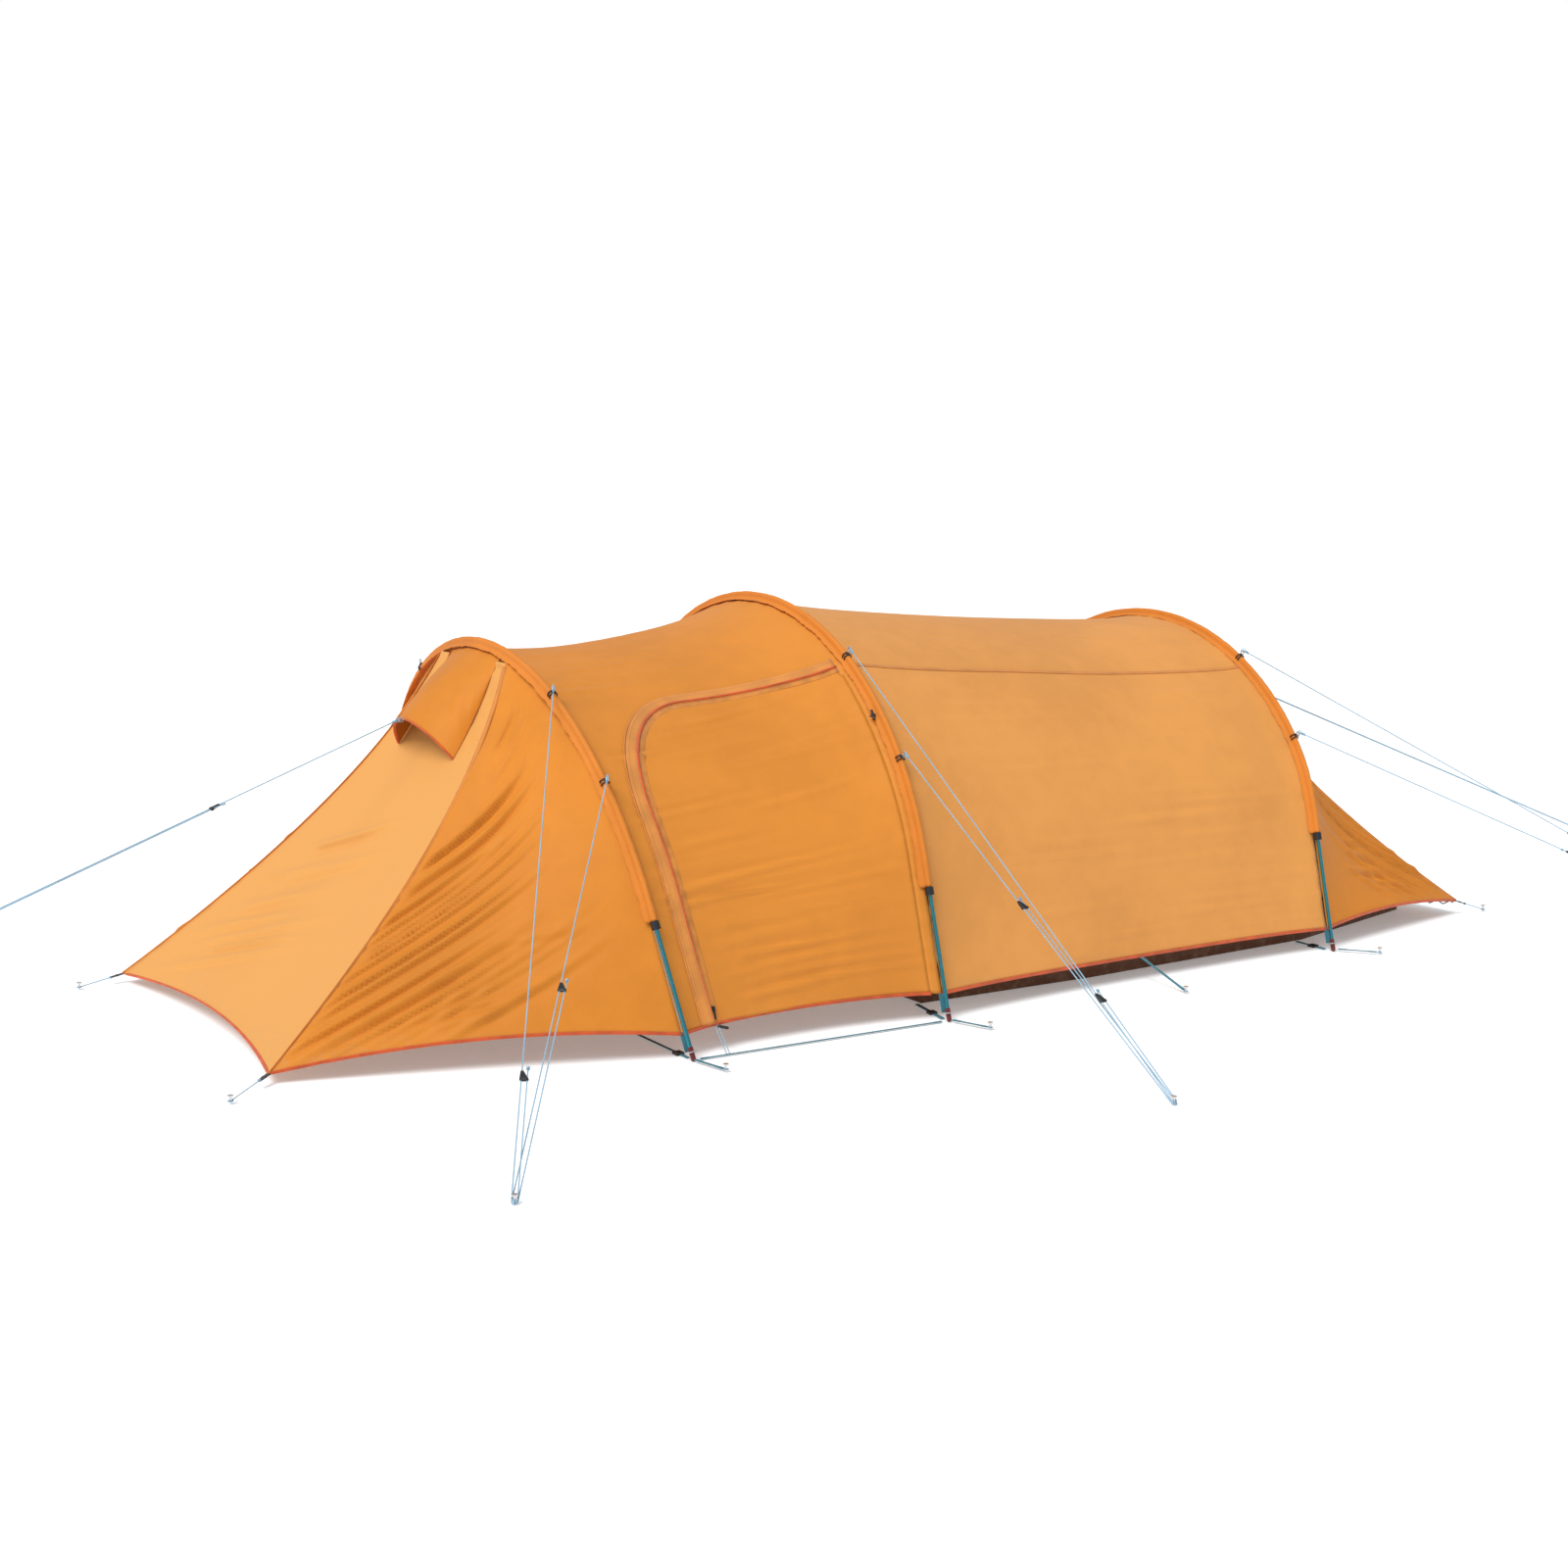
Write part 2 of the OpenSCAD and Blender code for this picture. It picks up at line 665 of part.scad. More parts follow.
// The slider rests near the hem and runs up the straight part of the zip
slider_from = porch_pt(zip_s, 0.035);
slider_to = porch_pt(zip_s, 0.132);
slider_axis = unit(slider_to - slider_from);
slider_out = unit(cross([1, 0, 0], slider_axis));
slider_tilt = acos(slider_axis[2]);

module zip_slider() {
    color(black) translate(slider_from + slider_out * 5.5)
        rotate([-slider_tilt, 0, 0]) {
            translate([-5, -2.5, 0]) cube([10, 4, 14]);
            translate([-2.5, -4, -24]) cube([5, 2.4, 34]);
        }
}

module door_toggle() {
    p = hoop_pt(middle_hoop, 0.27, fly_inset) + [-26, 0, 0];
    out = -inward(p);
    color(black) {
        translate(p + out * 9) rotate([-30, 0, 0]) translate([0, 0, -16]) cylinder(r = 4, h = 32);
        strap(p + out * 3, p + out * 6, 6, 2);
    }
}

// ---- Guy lines ----

function ring_at(h, t) = hoop_pt(h, t, -(sleeve_r + ring_stand + ring_r));
function hood_ring_at(apex) = apex + [sign(apex[0]) * (hood_ring_reach + ring_r), 0, 0];

front_hood_end = hood_ring_at(front_hood_apex);
front_upper_end = ring_at(front_hoop, upper_ring_t[0]);
front_lower_end = ring_at(front_hoop, lower_ring_t[0]);
middle_upper_end = ring_at(middle_hoop, upper_ring_t[1]);
middle_lower_end = ring_at(middle_hoop, lower_ring_t[1]);
rear_upper_end = ring_at(rear_hoop, upper_ring_t[2]);
rear_lower_end = ring_at(rear_hoop, lower_ring_t[2]);
rear_hood_end = hood_ring_at(rear_hood_apex);

// A peg's place for the lower of the two loops round it
function low(peg_xy) = [peg_xy[0], peg_xy[1], low_loop_z];

// Frame of a line: loop's centre, direction up the line, sideways, and its length
function line_frame(end, peg_xy) =
    let (peg = len(peg_xy) == 3 ? peg_xy : [peg_xy[0], peg_xy[1], guy_peg_z], aim = end - peg)
    let (side = unit(cross([0, 0, 1], aim)), start = peg + side * strand_gap / 2)
    [peg, unit(end - start), side, norm(end - start)];

tensioner_len = 32;
tail_len = 10;
function guy_route(end, peg_xy, share) =
    let (f = line_frame(end, peg_xy), r = strand_gap / 2)
    concat(
        [end + -5 * f[1]],
        [for (k = [0.75, 0.5, 0.25]) f[0] + f[2] * r + f[1] * f[3] * k],
        [for (a = steps(0, 180, 8)) f[0] + f[2] * r * cos(a) - f[1] * r * sin(a)],
        [f[0] - f[2] * r + f[1] * (f[3] * share + tensioner_len + tail_len)]
    );

module guy(end, peg_xy, share) {
    color([0.65, 0.75, 0.8]) cord(guy_route(end, peg_xy, share), guy_d);
}

tensioner_t = 8;
module tensioner(end, peg_xy, share) {
    f = line_frame(end, peg_xy);
    across = cross(f[1], f[2]);
    m = [
        [f[1][0], f[2][0], across[0], 0], [f[1][1], f[2][1], across[1], 0],
        [f[1][2], f[2][2], across[2], 0], [0, 0, 0, 1]
    ];
    half = strand_gap / 2;
    color(black) translate(f[0] + f[1] * f[3] * share) multmatrix(m) difference() {
        translate([0, 0, -tensioner_t / 2]) linear_extrude(tensioner_t)
            polygon([[0, -half - 6], [0, half + 6], [tensioner_len, half + 4], [tensioner_len, half - 4]]);
        for (y = [-half, half])
            translate([-1, y, 0]) rotate([0, 90, 0]) cylinder(r = guy_d / 2 + 0.35, h = tensioner_len + 2);
    }
}

// ---- Assembly ----

main_roof();
main_side();  // main_side_near
mirror([0, 1, 0]) main_side();  // main_side_far
porch_roof();
porch_side_near();
porch_side_far();
side_door();
end_panel(front_seam, front_pull);  // front_panel
end_side(front_hoop, front_seam, 40);  // front_side_near
mirror([0, 1, 0]) end_side(front_hoop, front_seam, 40);  // front_side_far
hood(front_hoop, front_hood_corner, front_hood_apex);  // front_hood
vent_mesh(front_hoop, front_hood_corner);  // front_vent_mesh
end_panel(rear_seam, rear_pull);  // rear_panel
end_side(rear_hoop, rear_seam, 30);  // rear_side_near
mirror([0, 1, 0]) end_side(rear_hoop, rear_seam, 30);  // rear_side_far
hood(rear_hoop, rear_hood_corner, rear_hood_apex);  // rear_hood
vent_mesh(rear_hoop, rear_hood_corner);  // rear_vent_mesh
pole(front_hoop);  // front_pole
pole(middle_hoop);  // middle_pole
pole(rear_hoop);  // rear_pole
sleeve(front_hoop);  // front_sleeve
sleeve(middle_hoop);  // middle_sleeve
sleeve(rear_hoop);  // rear_sleeve
pole_tips();
sleeve_collars();
foot_eyelets();
foot_straps();
guy_rings();
ground_pegs();
peg_straps();
ground_straps();
strap_buckles();
groundsheet();
inner_roof();
inner_side();  // inner_side_near
mirror([0, 1, 0]) inner_side();  // inner_side_far
inner_front_wall();
inner_rear_wall();
inner_door();
inner_hangers();
door_zip();
zip_slider();
door_toggle();
guy(front_hood_end, front_hood_peg, front_hood_share);  // front_hood_guy
guy(front_upper_end, front_peg, front_upper_share);  // front_upper_guy
guy(front_lower_end, low(front_peg), front_lower_share);  // front_lower_guy
guy(middle_upper_end, middle_peg, middle_upper_share);  // middle_upper_guy
guy(middle_lower_end, low(middle_peg), middle_lower_share);  // middle_lower_guy
guy(rear_upper_end, rear_peg, rear_upper_share);  // rear_upper_guy
guy(rear_lower_end, low(rear_peg), rear_lower_share);  // rear_lower_guy
guy(rear_hood_end, rear_hood_peg, rear_hood_share);  // rear_hood_guy
tensioner(front_hood_end, front_hood_peg, front_hood_share);  // front_hood_tensioner
tensioner(front_upper_end, front_peg, front_upper_share);  // front_upper_tensioner
tensioner(front_lower_end, low(front_peg), front_lower_share);  // front_lower_tensioner
tensioner(middle_upper_end, middle_peg, middle_upper_share);  // middle_upper_tensioner
tensioner(middle_lower_end, low(middle_peg), middle_lower_share);  // middle_lower_tensioner
tensioner(rear_upper_end, rear_peg, rear_upper_share);  // rear_upper_tensioner
tensioner(rear_lower_end, low(rear_peg), rear_lower_share);  // rear_lower_tensioner
tensioner(rear_hood_end, rear_hood_peg, rear_hood_share);  // rear_hood_tensioner
guy_pegs();
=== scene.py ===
import math
from collections import namedtuple

import bpy
import numpy as np
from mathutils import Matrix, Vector


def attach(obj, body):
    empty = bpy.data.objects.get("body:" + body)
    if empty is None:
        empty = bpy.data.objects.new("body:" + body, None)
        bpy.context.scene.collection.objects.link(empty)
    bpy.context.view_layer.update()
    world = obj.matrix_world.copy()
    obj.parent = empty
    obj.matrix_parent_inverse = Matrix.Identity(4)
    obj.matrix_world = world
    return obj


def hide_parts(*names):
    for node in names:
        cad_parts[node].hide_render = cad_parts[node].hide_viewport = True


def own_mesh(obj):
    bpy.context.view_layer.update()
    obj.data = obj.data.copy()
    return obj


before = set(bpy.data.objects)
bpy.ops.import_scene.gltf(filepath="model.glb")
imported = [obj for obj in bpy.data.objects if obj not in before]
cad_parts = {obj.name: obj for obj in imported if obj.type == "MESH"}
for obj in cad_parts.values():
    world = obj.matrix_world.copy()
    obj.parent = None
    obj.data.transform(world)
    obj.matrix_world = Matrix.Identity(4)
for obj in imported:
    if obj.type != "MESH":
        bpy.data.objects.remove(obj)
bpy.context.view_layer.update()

# ---- Camera ----

CAMERA_AT = Vector((-4.1282, -6.3825, 1.7003))
CAMERA_AZIMUTH = math.radians(-31.97)
CAMERA_ELEVATION = math.radians(8.613)


def make_camera():
    """The camera looks down the line that its azimuth and elevation give."""
    data = bpy.data.cameras.new("view_camera")
    data.lens = 52.03
    data.sensor_width = 36.0
    camera = bpy.data.objects.new("view_camera", data)
    bpy.context.scene.collection.objects.link(camera)
    back = Vector((
        math.sin(CAMERA_AZIMUTH) * math.cos(CAMERA_ELEVATION),
        -math.cos(CAMERA_AZIMUTH) * math.cos(CAMERA_ELEVATION),
        math.sin(CAMERA_ELEVATION),
    ))
    camera.location = CAMERA_AT
    camera.rotation_euler = (-back).to_track_quat("-Z", "Y").to_euler()
    bpy.context.scene.camera = camera


make_camera()

# ---- Sizes, in metres and degrees ----

Hoop = namedtuple("Hoop", "x half_w height lean leg_angle leg shoulder")
MIDDLE = Hoop(-0.260, 1.110, 1.200, 0.0, 16.0, 0.500, 42.0)
FRONT = Hoop(MIDDLE.x - 0.855, 1.085, 1.103, -7.0, 20.0, 0.450, 38.0)
REAR = Hoop(MIDDLE.x + 1.650, 1.035, 1.080, 2.5, 16.0, 0.490, 40.0)

# A name that ends in _T is a share of the way round a hoop, in _S a share of the way along a bay, and in _V
# a share of the way down an end of the fly.
SLEEVE_R = 0.012
BARE_LEG = 0.405
FLY_INSET = 0.016
INNER_INSET = 0.090
AXIS_Z = 0.250  # height of the line down the middle of the tent that the cloth is drawn in towards
HEM_T = 0.024
ROOF_T = 0.333
SEAM_T = 0.427
EDGE_SAG = 0.014
PORCH_SAG = 0.042
MAIN_SAG = 0.016
ZIP_S = 0.14
ZIP_CORNER_T = 0.21
ZIP_CORNER_S = 0.42
DOOR_EDGE_S = 0.965
VENT_V = 0.3
HOLE_V = 0.2
SIDE_COLUMNS = 92
VENT_COLUMNS = 46
EAR_COLUMNS = 8
PORCH_COLUMNS = (36, 74)
CLOTH = 0.0006

FRONT_SEAM = np.array([[-1.270, -0.235, 1.045], [-1.463, -0.396, 0.593], [-2.190, -0.680, 0.030]])
REAR_SEAM = np.array([[1.455, -0.235, 1.028], [1.590, -0.450, 0.560], [2.211, -0.827, 0.050]])
FRONT_PULL = np.array([0.065, 0.0, 0.025])
REAR_PULL = np.array([-0.055, 0.0, 0.040])
FRONT_HOOD_CORNER = np.array([-1.442, -0.216, 0.778])
FRONT_HOOD_APEX = np.array([-1.497, 0.0, 0.867])
REAR_HOOD_CORNER = np.array([1.596, -0.216, 0.778])
REAR_HOOD_APEX = np.array([1.695, 0.0, 0.860])

NEAR_PEGS = [(-2.335, -0.800), (-1.093, -1.221), (-0.212, -1.245), (0.570, -1.215), (1.489, -1.148),
             (2.336, -0.848)]
FAR_PEGS = [(-2.335, 0.660), (-1.093, 1.221), (-0.212, 1.245), (0.570, 1.215), (1.489, 1.148), (2.336, 0.848)]
FRONT_HOOD_PEG = (-3.779, 0.0)
FRONT_PEG = (-2.046, -1.901)
MIDDLE_PEG = (-0.266, -2.101)
REAR_PEG = (2.918, -1.413)
REAR_HOOD_PEG = (3.979, 0.0)
GUY_PEG_Z = 0.012
LOW_LOOP_Z = 0.006
RING_GAP = 0.005
UPPER_RING_T = {"front": 0.352, "middle": 0.338, "rear": 0.342}
LOWER_RING_T = {"front": 0.247, "middle": 0.224, "rear": 0.226}
HOOPS = {"front": FRONT, "middle": MIDDLE, "rear": REAR}
RING_STAND = 0.011
RING_R = 0.009
HOOD_RING_REACH = 0.012
GUY_D = 0.0035
STRAND_GAP = 0.014
TENSIONER_LEN = 0.032
TAIL_LEN = 0.010

# ---- Points on the hoops and on the cloth ----


def unit(v):
    """Vectors scaled to length one along the last axis."""
    v = np.asarray(v, float)
    return v / np.maximum(np.linalg.norm(v, axis=-1, keepdims=True), 1e-12)


def mix(a, b, u):
    """a at u 0 and b at u 1, in a straight line."""
    return a + (b - a) * u


def ease(x, low, high):
    """0 below low, 1 above high, and a smooth S between them."""
    k = np.clip((x - low) / (high - low), 0.0, 1.0)
    return k * k * (3 - 2 * k)


def arc_radii(h):
    """Radii of the shoulder arc and the top arc, from the hoop's width and height."""
    leg, shoulder = math.radians(h.leg_angle), math.radians(h.shoulder)
    sides = np.array([
        [math.cos(leg) - math.cos(shoulder), math.cos(shoulder)],
        [math.sin(shoulder) - math.sin(leg), 1 - math.sin(shoulder)],
    ])
    reach = [h.half_w - h.leg * math.sin(leg), h.height - h.leg * math.cos(leg)]
    return np.linalg.solve(sides, reach)


def half_length(h):
    """Length of the hoop from one foot to the top."""
    r = arc_radii(h)
    leg, shoulder = math.radians(h.leg_angle), math.radians(h.shoulder)
    return h.leg + r[0] * (shoulder - leg) + r[1] * (math.pi / 2 - shoulder)


def hoop_heading(h, t):
    """Angle of the outward direction above the ground plane, at share t round the hoop."""
    r = arc_radii(h)
    leg, shoulder = math.radians(h.leg_angle), math.radians(h.shoulder)
    s = np.minimum(t, 1 - t) * 2 * half_length(h)
    side = r[0] * (shoulder - leg)
    return s, np.where(s < h.leg, leg, np.where(
        s < h.leg + side, leg + (s - h.leg) / r[0], shoulder + (s - h.leg - side) / r[1]))


def lean_back(h, y, z):
    """A point of the hoop's own plane, turned by the hoop's lean and put at its feet."""
    lean = math.radians(h.lean)
    return np.stack([h.x + math.sin(lean) * z, y, math.cos(lean) * z], -1)


def hoop_point(h, t, inset=0.0):
    """Straight leg, shoulder arc, top arc, mirrored; sunk by inset along the heading."""
    t = np.asarray(t, float)
    r = arc_radii(h)
    leg, shoulder = math.radians(h.leg_angle), math.radians(h.shoulder)
    s, heading = hoop_heading(h, t)
    straight = np.minimum(s, h.leg)
    a2 = np.clip(heading, leg, shoulder)
    a1 = np.clip(heading, shoulder, math.pi / 2)
    y = h.half_w - straight * math.sin(leg)
    y = y + r[0] * (np.cos(a2) - math.cos(leg)) + r[1] * (np.cos(a1) - math.cos(shoulder))
    z = straight * math.cos(leg)
    z = z + r[0] * (np.sin(a2) - math.sin(leg)) + r[1] * (np.sin(a1) - math.sin(shoulder))
    y = (y - inset * np.cos(heading)) * np.where(t <= 0.5, -1, 1)
    return lean_back(h, y, z - inset * np.sin(heading))


def hoop_outward(h, t):
    """Outward direction at share t, in the hoop's leaning plane."""
    return unit(hoop_point(h, t, -0.01) - hoop_point(h, t, 0.0))


def inward(p):
    """Direction from a point towards the line that runs down the middle of the tent."""
    return unit(np.stack([0 * p[..., 0], -p[..., 1], AXIS_Z - p[..., 2]], -1))


def span_cloth(h0, h1, s, t, sag, inset=FLY_INSET):
    """Straight line between the same share of two hoops, drawn in by a sag that is nil at the hoops."""
    s, t = np.broadcast_arrays(np.asarray(s, float), np.asarray(t, float))
    p = mix(hoop_point(h0, t, inset), hoop_point(h1, t, inset), s[..., None])
    depth = EDGE_SAG * (1 - np.abs(2 * s - 1) ** 6) + sag * 4 * s * (1 - s)
    return p + inward(p) * depth[..., None]


def porch(s, t):
    """Cloth between the front and the middle hoop."""
    return span_cloth(FRONT, MIDDLE, s, t, PORCH_SAG)


def main_span(s, t):
    """Cloth between the middle and the rear hoop."""
    return span_cloth(MIDDLE, REAR, s, t, MAIN_SAG)


def zip_at(t):
    """The zip's place along the porch: straight up, then a quarter of an ellipse."""
    k = np.clip((np.asarray(t, float) - ZIP_CORNER_T) / (ROOF_T - ZIP_CORNER_T), 0, 1)
    return ZIP_CORNER_S - (ZIP_CORNER_S - ZIP_S) * np.sqrt(1 - k * k)


def bezier(p, u):
    """Curve from p[0] to p[2], pulled towards p[1]."""
    u = np.asarray(u, float)[..., None]
    return (1 - u) ** 2 * p[0] + 2 * u * (1 - u) * p[1] + u * u * p[2]


def end_side(h, seam, u, v, lift, inset=FLY_INSET):
    """Line from the hoop (u 0) to the seam (u 1), raised at the hem and drawn in between."""
    u, v = np.broadcast_arrays(np.asarray(u, float), np.asarray(v, float))
    p = mix(hoop_point(h, mix(SEAM_T, HEM_T, v), inset), bezier(seam, v), u[..., None])
    p = p + inward(p) * (0.100 * 4 * u * (1 - u) * v * (1 - v))[..., None]
    p[..., 2] += lift * 4 * u * (1 - u) * v ** 3
    return p


def end_panel(seam, u, v, pull):
    """Line from seam to seam, u -1 to 1, with its hem pulled back and up in the middle."""
    u, v = np.broadcast_arrays(np.asarray(u, float), np.asarray(v, float))
    p = bezier(seam, v)
    p = np.stack([p[..., 0], -p[..., 1] * u, p[..., 2]], -1)
    return p + pull * ((1 - u * u) * v ** 3)[..., None]


def hood_point(h, corner, apex, u, v):
    """Line from the hoop's crown (v 0) to the hood's free edge (v 1), which peaks in the middle."""
    u, v = np.broadcast_arrays(np.asarray(u, float), np.asarray(v, float))
    k = 1 - u * u
    edge = np.stack([mix(corner[0], apex[0], k), -corner[1] * u, mix(corner[2], apex[2], k)], -1)
    p = mix(hoop_point(h, 0.5 + 0.067 * u, FLY_INSET), edge, v[..., None])
    bulge = np.array([math.copysign(0.012, apex[0]), 0, 0.012])
    return p + bulge * (4 * v * (1 - v) * k)[..., None]


# ---- Folds and wrinkles ----


def grid_normals(p):
    """Unit normal of a grid of points, from the differences along its rows and columns."""
    return unit(np.cross(np.gradient(p, axis=0), np.gradient(p, axis=1)))


def soft_noise(x, y, seed):
    """Random heights on a unit lattice, blended smoothly between its four corners, -1 to 1."""
    heights = np.random.default_rng(seed).uniform(-1, 1, (64, 64))
    i, j = np.floor(x).astype(int), np.floor(y).astype(int)
    u, v = x - i, y - j
    u, v = u * u * (3 - 2 * u), v * v * (3 - 2 * v)
    low = mix(heights[i % 64, j % 64], heights[(i + 1) % 64, j % 64], u)
    high = mix(heights[i % 64, (j + 1) % 64], heights[(i + 1) % 64, (j + 1) % 64], u)
    return mix(low, high, v)


def folds(along, across, count, span, width, depth, start, length, seed, bend=0.0, rise=0.3):
    """Long folds: each a bell across its own line, with a shallow trough beside it, fading at both ends."""
    rng = np.random.default_rng(seed)
    total = np.zeros(np.broadcast(along, across).shape)
    for centre in np.linspace(span[0], span[1], count):
        centre += rng.uniform(-0.5, 0.5) * (span[1] - span[0]) / count
        wide = width * rng.uniform(0.7, 1.5)
        first = rng.uniform(start[0], start[1])
        last = first + rng.uniform(length[0], length[1])
        q = (across - centre - bend * rng.uniform(-1, 1) * along ** 2) / wide
        fade = ease(along, first, first + rise * (last - first))
        fade = fade * (1 - ease(along, mix(first, last, 0.45), last))
        total += depth * rng.uniform(0.35, 1.0) * fade * (np.exp(-q * q) - 0.6 * np.exp(-(q - 1.6) ** 2))
    return total


# ---- Meshes from arrays ----


def lengths_along(p, axis):
    """Running length along one axis of a grid of points, averaged over the other."""
    step = np.linalg.norm(np.diff(p, axis=axis), axis=-1)
    return np.concatenate([[0], np.cumsum(step.mean(axis=1 - axis))])


Part = namedtuple("Part", "points quads quad_uv caps")


def grid_part(p, keep=None, inside=None):
    """An open sheet of quads through a grid, less those where keep is false; its faces turn away from the
    point called inside, or from the line down the middle of the tent."""
    n, m = p.shape[:2]
    index = np.arange(n * m).reshape(n, m)
    quads = np.stack([index[:-1, :-1], index[1:, :-1], index[1:, 1:], index[:-1, 1:]], -1).reshape(-1, 4)
    if keep is not None:
        quads = quads[keep.reshape(-1)]
    points = p.reshape(-1, 3)
    a, b, c, d = (points[quads[:, k]] for k in range(4))
    normals = np.cross(c - a, d - b)
    middle = (a + b + c + d) / 4
    if inside is None:
        inside = middle * np.array([1, 0, 0]) + np.array([0, 0, AXIS_Z])
    if ((middle - inside) * normals).sum() < 0:
        quads = quads[:, ::-1]
    u, v = np.meshgrid(lengths_along(p, 0), lengths_along(p, 1), indexing="ij")
    uv = np.stack([u, v], -1).reshape(-1, 2)[quads]
    used, quads = np.unique(quads, return_inverse=True)
    return Part(points[used], quads.reshape(-1, 4), uv, [])


def tube_quads(rows, row_count, sides):
    """Corner numbers of the quads between each ring of points and the next, and the rings' own indices."""
    i, j = np.meshgrid(np.arange(rows), np.arange(sides), indexing="ij")
    i2, j2 = (i + 1) % row_count, (j + 1) % sides
    quads = np.stack([i * sides + j, i * sides + j2, i2 * sides + j2, i2 * sides + j], -1)
    return quads.reshape(-1, 4), i, j


def end_caps(rows, sides):
    """The two faces that close a tube: its first ring turned round, and its last."""
    return [np.arange(sides)[::-1], (rows - 1) * sides + np.arange(sides)]


def sweep(path, profile, up, closed_path=False):
    """A closed profile carried along a path: point = path + profile x * side + profile y * lift, where lift is
    up squared to the path's tangent, and side is lift crossed with the tangent."""
    path = np.asarray(path, float)
    profile = np.broadcast_to(np.asarray(profile, float), (len(path),) + np.asarray(profile).shape[-2:])
    step = np.roll(path, -1, 0) - np.roll(path, 1, 0) if closed_path else np.gradient(path, axis=0)
    tangent = unit(step)
    up = np.broadcast_to(np.asarray(up, float), path.shape)
    lift = unit(up - (up * tangent).sum(-1, keepdims=True) * tangent)
    side = np.cross(lift, tangent)
    p = path[:, None] + profile[..., :1] * side[:, None] + profile[..., 1:] * lift[:, None]
    n, k = p.shape[:2]
    quads, i, j = tube_quads(n if closed_path else n - 1, n, k)
    lengths = np.append(np.linalg.norm(np.diff(path, axis=0), axis=1), np.linalg.norm(path[0] - path[-1]))
    along = np.concatenate([[0], np.cumsum(lengths)])
    edge = np.linalg.norm(np.roll(profile[0], -1, 0) - profile[0], axis=1)
    around = np.concatenate([[0], np.cumsum(edge)])
    corners = [(along[i + a], around[j + b]) for a, b in ((0, 0), (0, 1), (1, 1), (1, 0))]
    uv = np.stack([np.stack(corner, -1) for corner in corners], -2).reshape(-1, 4, 2)
    return Part(p.reshape(-1, 3), quads, uv, [] if closed_path else end_caps(n, k))


def circle(radius, sides=10):
    """Points round a circle, anticlockwise."""
    a = np.arange(sides) * 2 * math.pi / sides
    return np.stack([radius * np.cos(a), radius * np.sin(a)], -1)


def flat_oval(width, thick, sides=12):
    """A flat band's section: a circle whose coordinates are squared off towards a rounded slab."""
    a = (np.arange(sides) + 0.5) * 2 * math.pi / sides
    c, s = np.cos(a), np.sin(a)
    power = 0.45
    x = np.sign(c) * np.abs(c) ** power * width / 2
    y = np.sign(s) * np.abs(s) ** power * thick / 2
    return np.stack([x, y], -1)


def spaced(path, step):
    """The same path with points about step apart, and its own corners kept."""
    path = np.asarray(path, float)
    pieces = []
    for a, b in zip(path[:-1], path[1:]):
        count = max(1, round(float(np.linalg.norm(b - a)) / step))
        pieces.append(a + (b - a) * (np.arange(count) / count)[:, None])
    return np.vstack(pieces + [path[-1:]])


def rod(path, radius, up=(0, 0, 1), sides=10):
    """A round bar along a path."""
    return sweep(path, circle(radius, sides), up)


def ring(centre, axis, radius, wire, turns=28, sides=8):
    """A closed round ring of round wire about an axis."""
    axis = unit(axis)
    a = unit(np.cross(axis, [0.3, 0.5, 0.8]))
    b = np.cross(axis, a)
    angle = np.arange(turns) * 2 * math.pi / turns
    path = np.asarray(centre) + radius * (np.cos(angle)[:, None] * a + np.sin(angle)[:, None] * b)
    return sweep(path, circle(wire, sides), axis, closed_path=True)


def wraps(start, axis, radius, wire, turns, pitch):
    """A helix of cord wound round an axis, as in a whipping or a knot's turns."""
    axis = unit(axis)
    a = unit(np.cross(axis, [0.21, 0.37, 0.9]))
    b = np.cross(axis, a)
    angle = np.linspace(0, 2 * math.pi * turns, int(turns * 14))[:, None]
    path = np.asarray(start) + axis * pitch * angle / (2 * math.pi)
    path = path + radius * (np.cos(angle) * a + np.sin(angle) * b)
    return sweep(path, circle(wire, 7), axis)


def pillow(outline, thick, origin, side, up):
    """A rounded plate: each ring of the outline shrinks towards its middle as the face rises over it."""
    outline = np.asarray(outline, float)
    rings, dome = 6, 8
    centre = outline.mean(0)
    fore = np.linspace(1, 0.02, rings)
    share = np.concatenate([fore[::-1], fore[1:]])
    height = thick / 2 * (1 - np.clip(share, 0, 1) ** dome) ** 0.5
    height = np.where(np.arange(len(share)) < rings, height, -height)
    flat = centre + (outline - centre) * share[:, None, None]
    across = np.cross(side, up)
    p = np.asarray(origin) + flat[..., :1] * side + flat[..., 1:] * up + height[:, None, None] * across
    n, k = p.shape[:2]
    quads = tube_quads(n - 1, n, k)[0]
    points = p.reshape(-1, 3)
    return Part(points, quads, points[quads][..., :2], end_caps(n, k))


def rounded(corners, radius):
    """A polygon with each corner replaced by a short arc of the given radius."""
    corners = np.asarray(corners, float)
    before, after = np.roll(corners, 1, 0), np.roll(corners, -1, 0)
    points = []
    for a, c, b in zip(before, corners, after):
        p, q = c + unit(a - c) * radius, c + unit(b - c) * radius
        for u in np.linspace(0, 1, 5):
            points.append((1 - u) ** 2 * p + 2 * u * (1 - u) * c + u * u * q)
    return np.array(points)


def mirrored(p):
    """The same points on the other side of the tent."""
    return p * np.array([1, -1, 1])


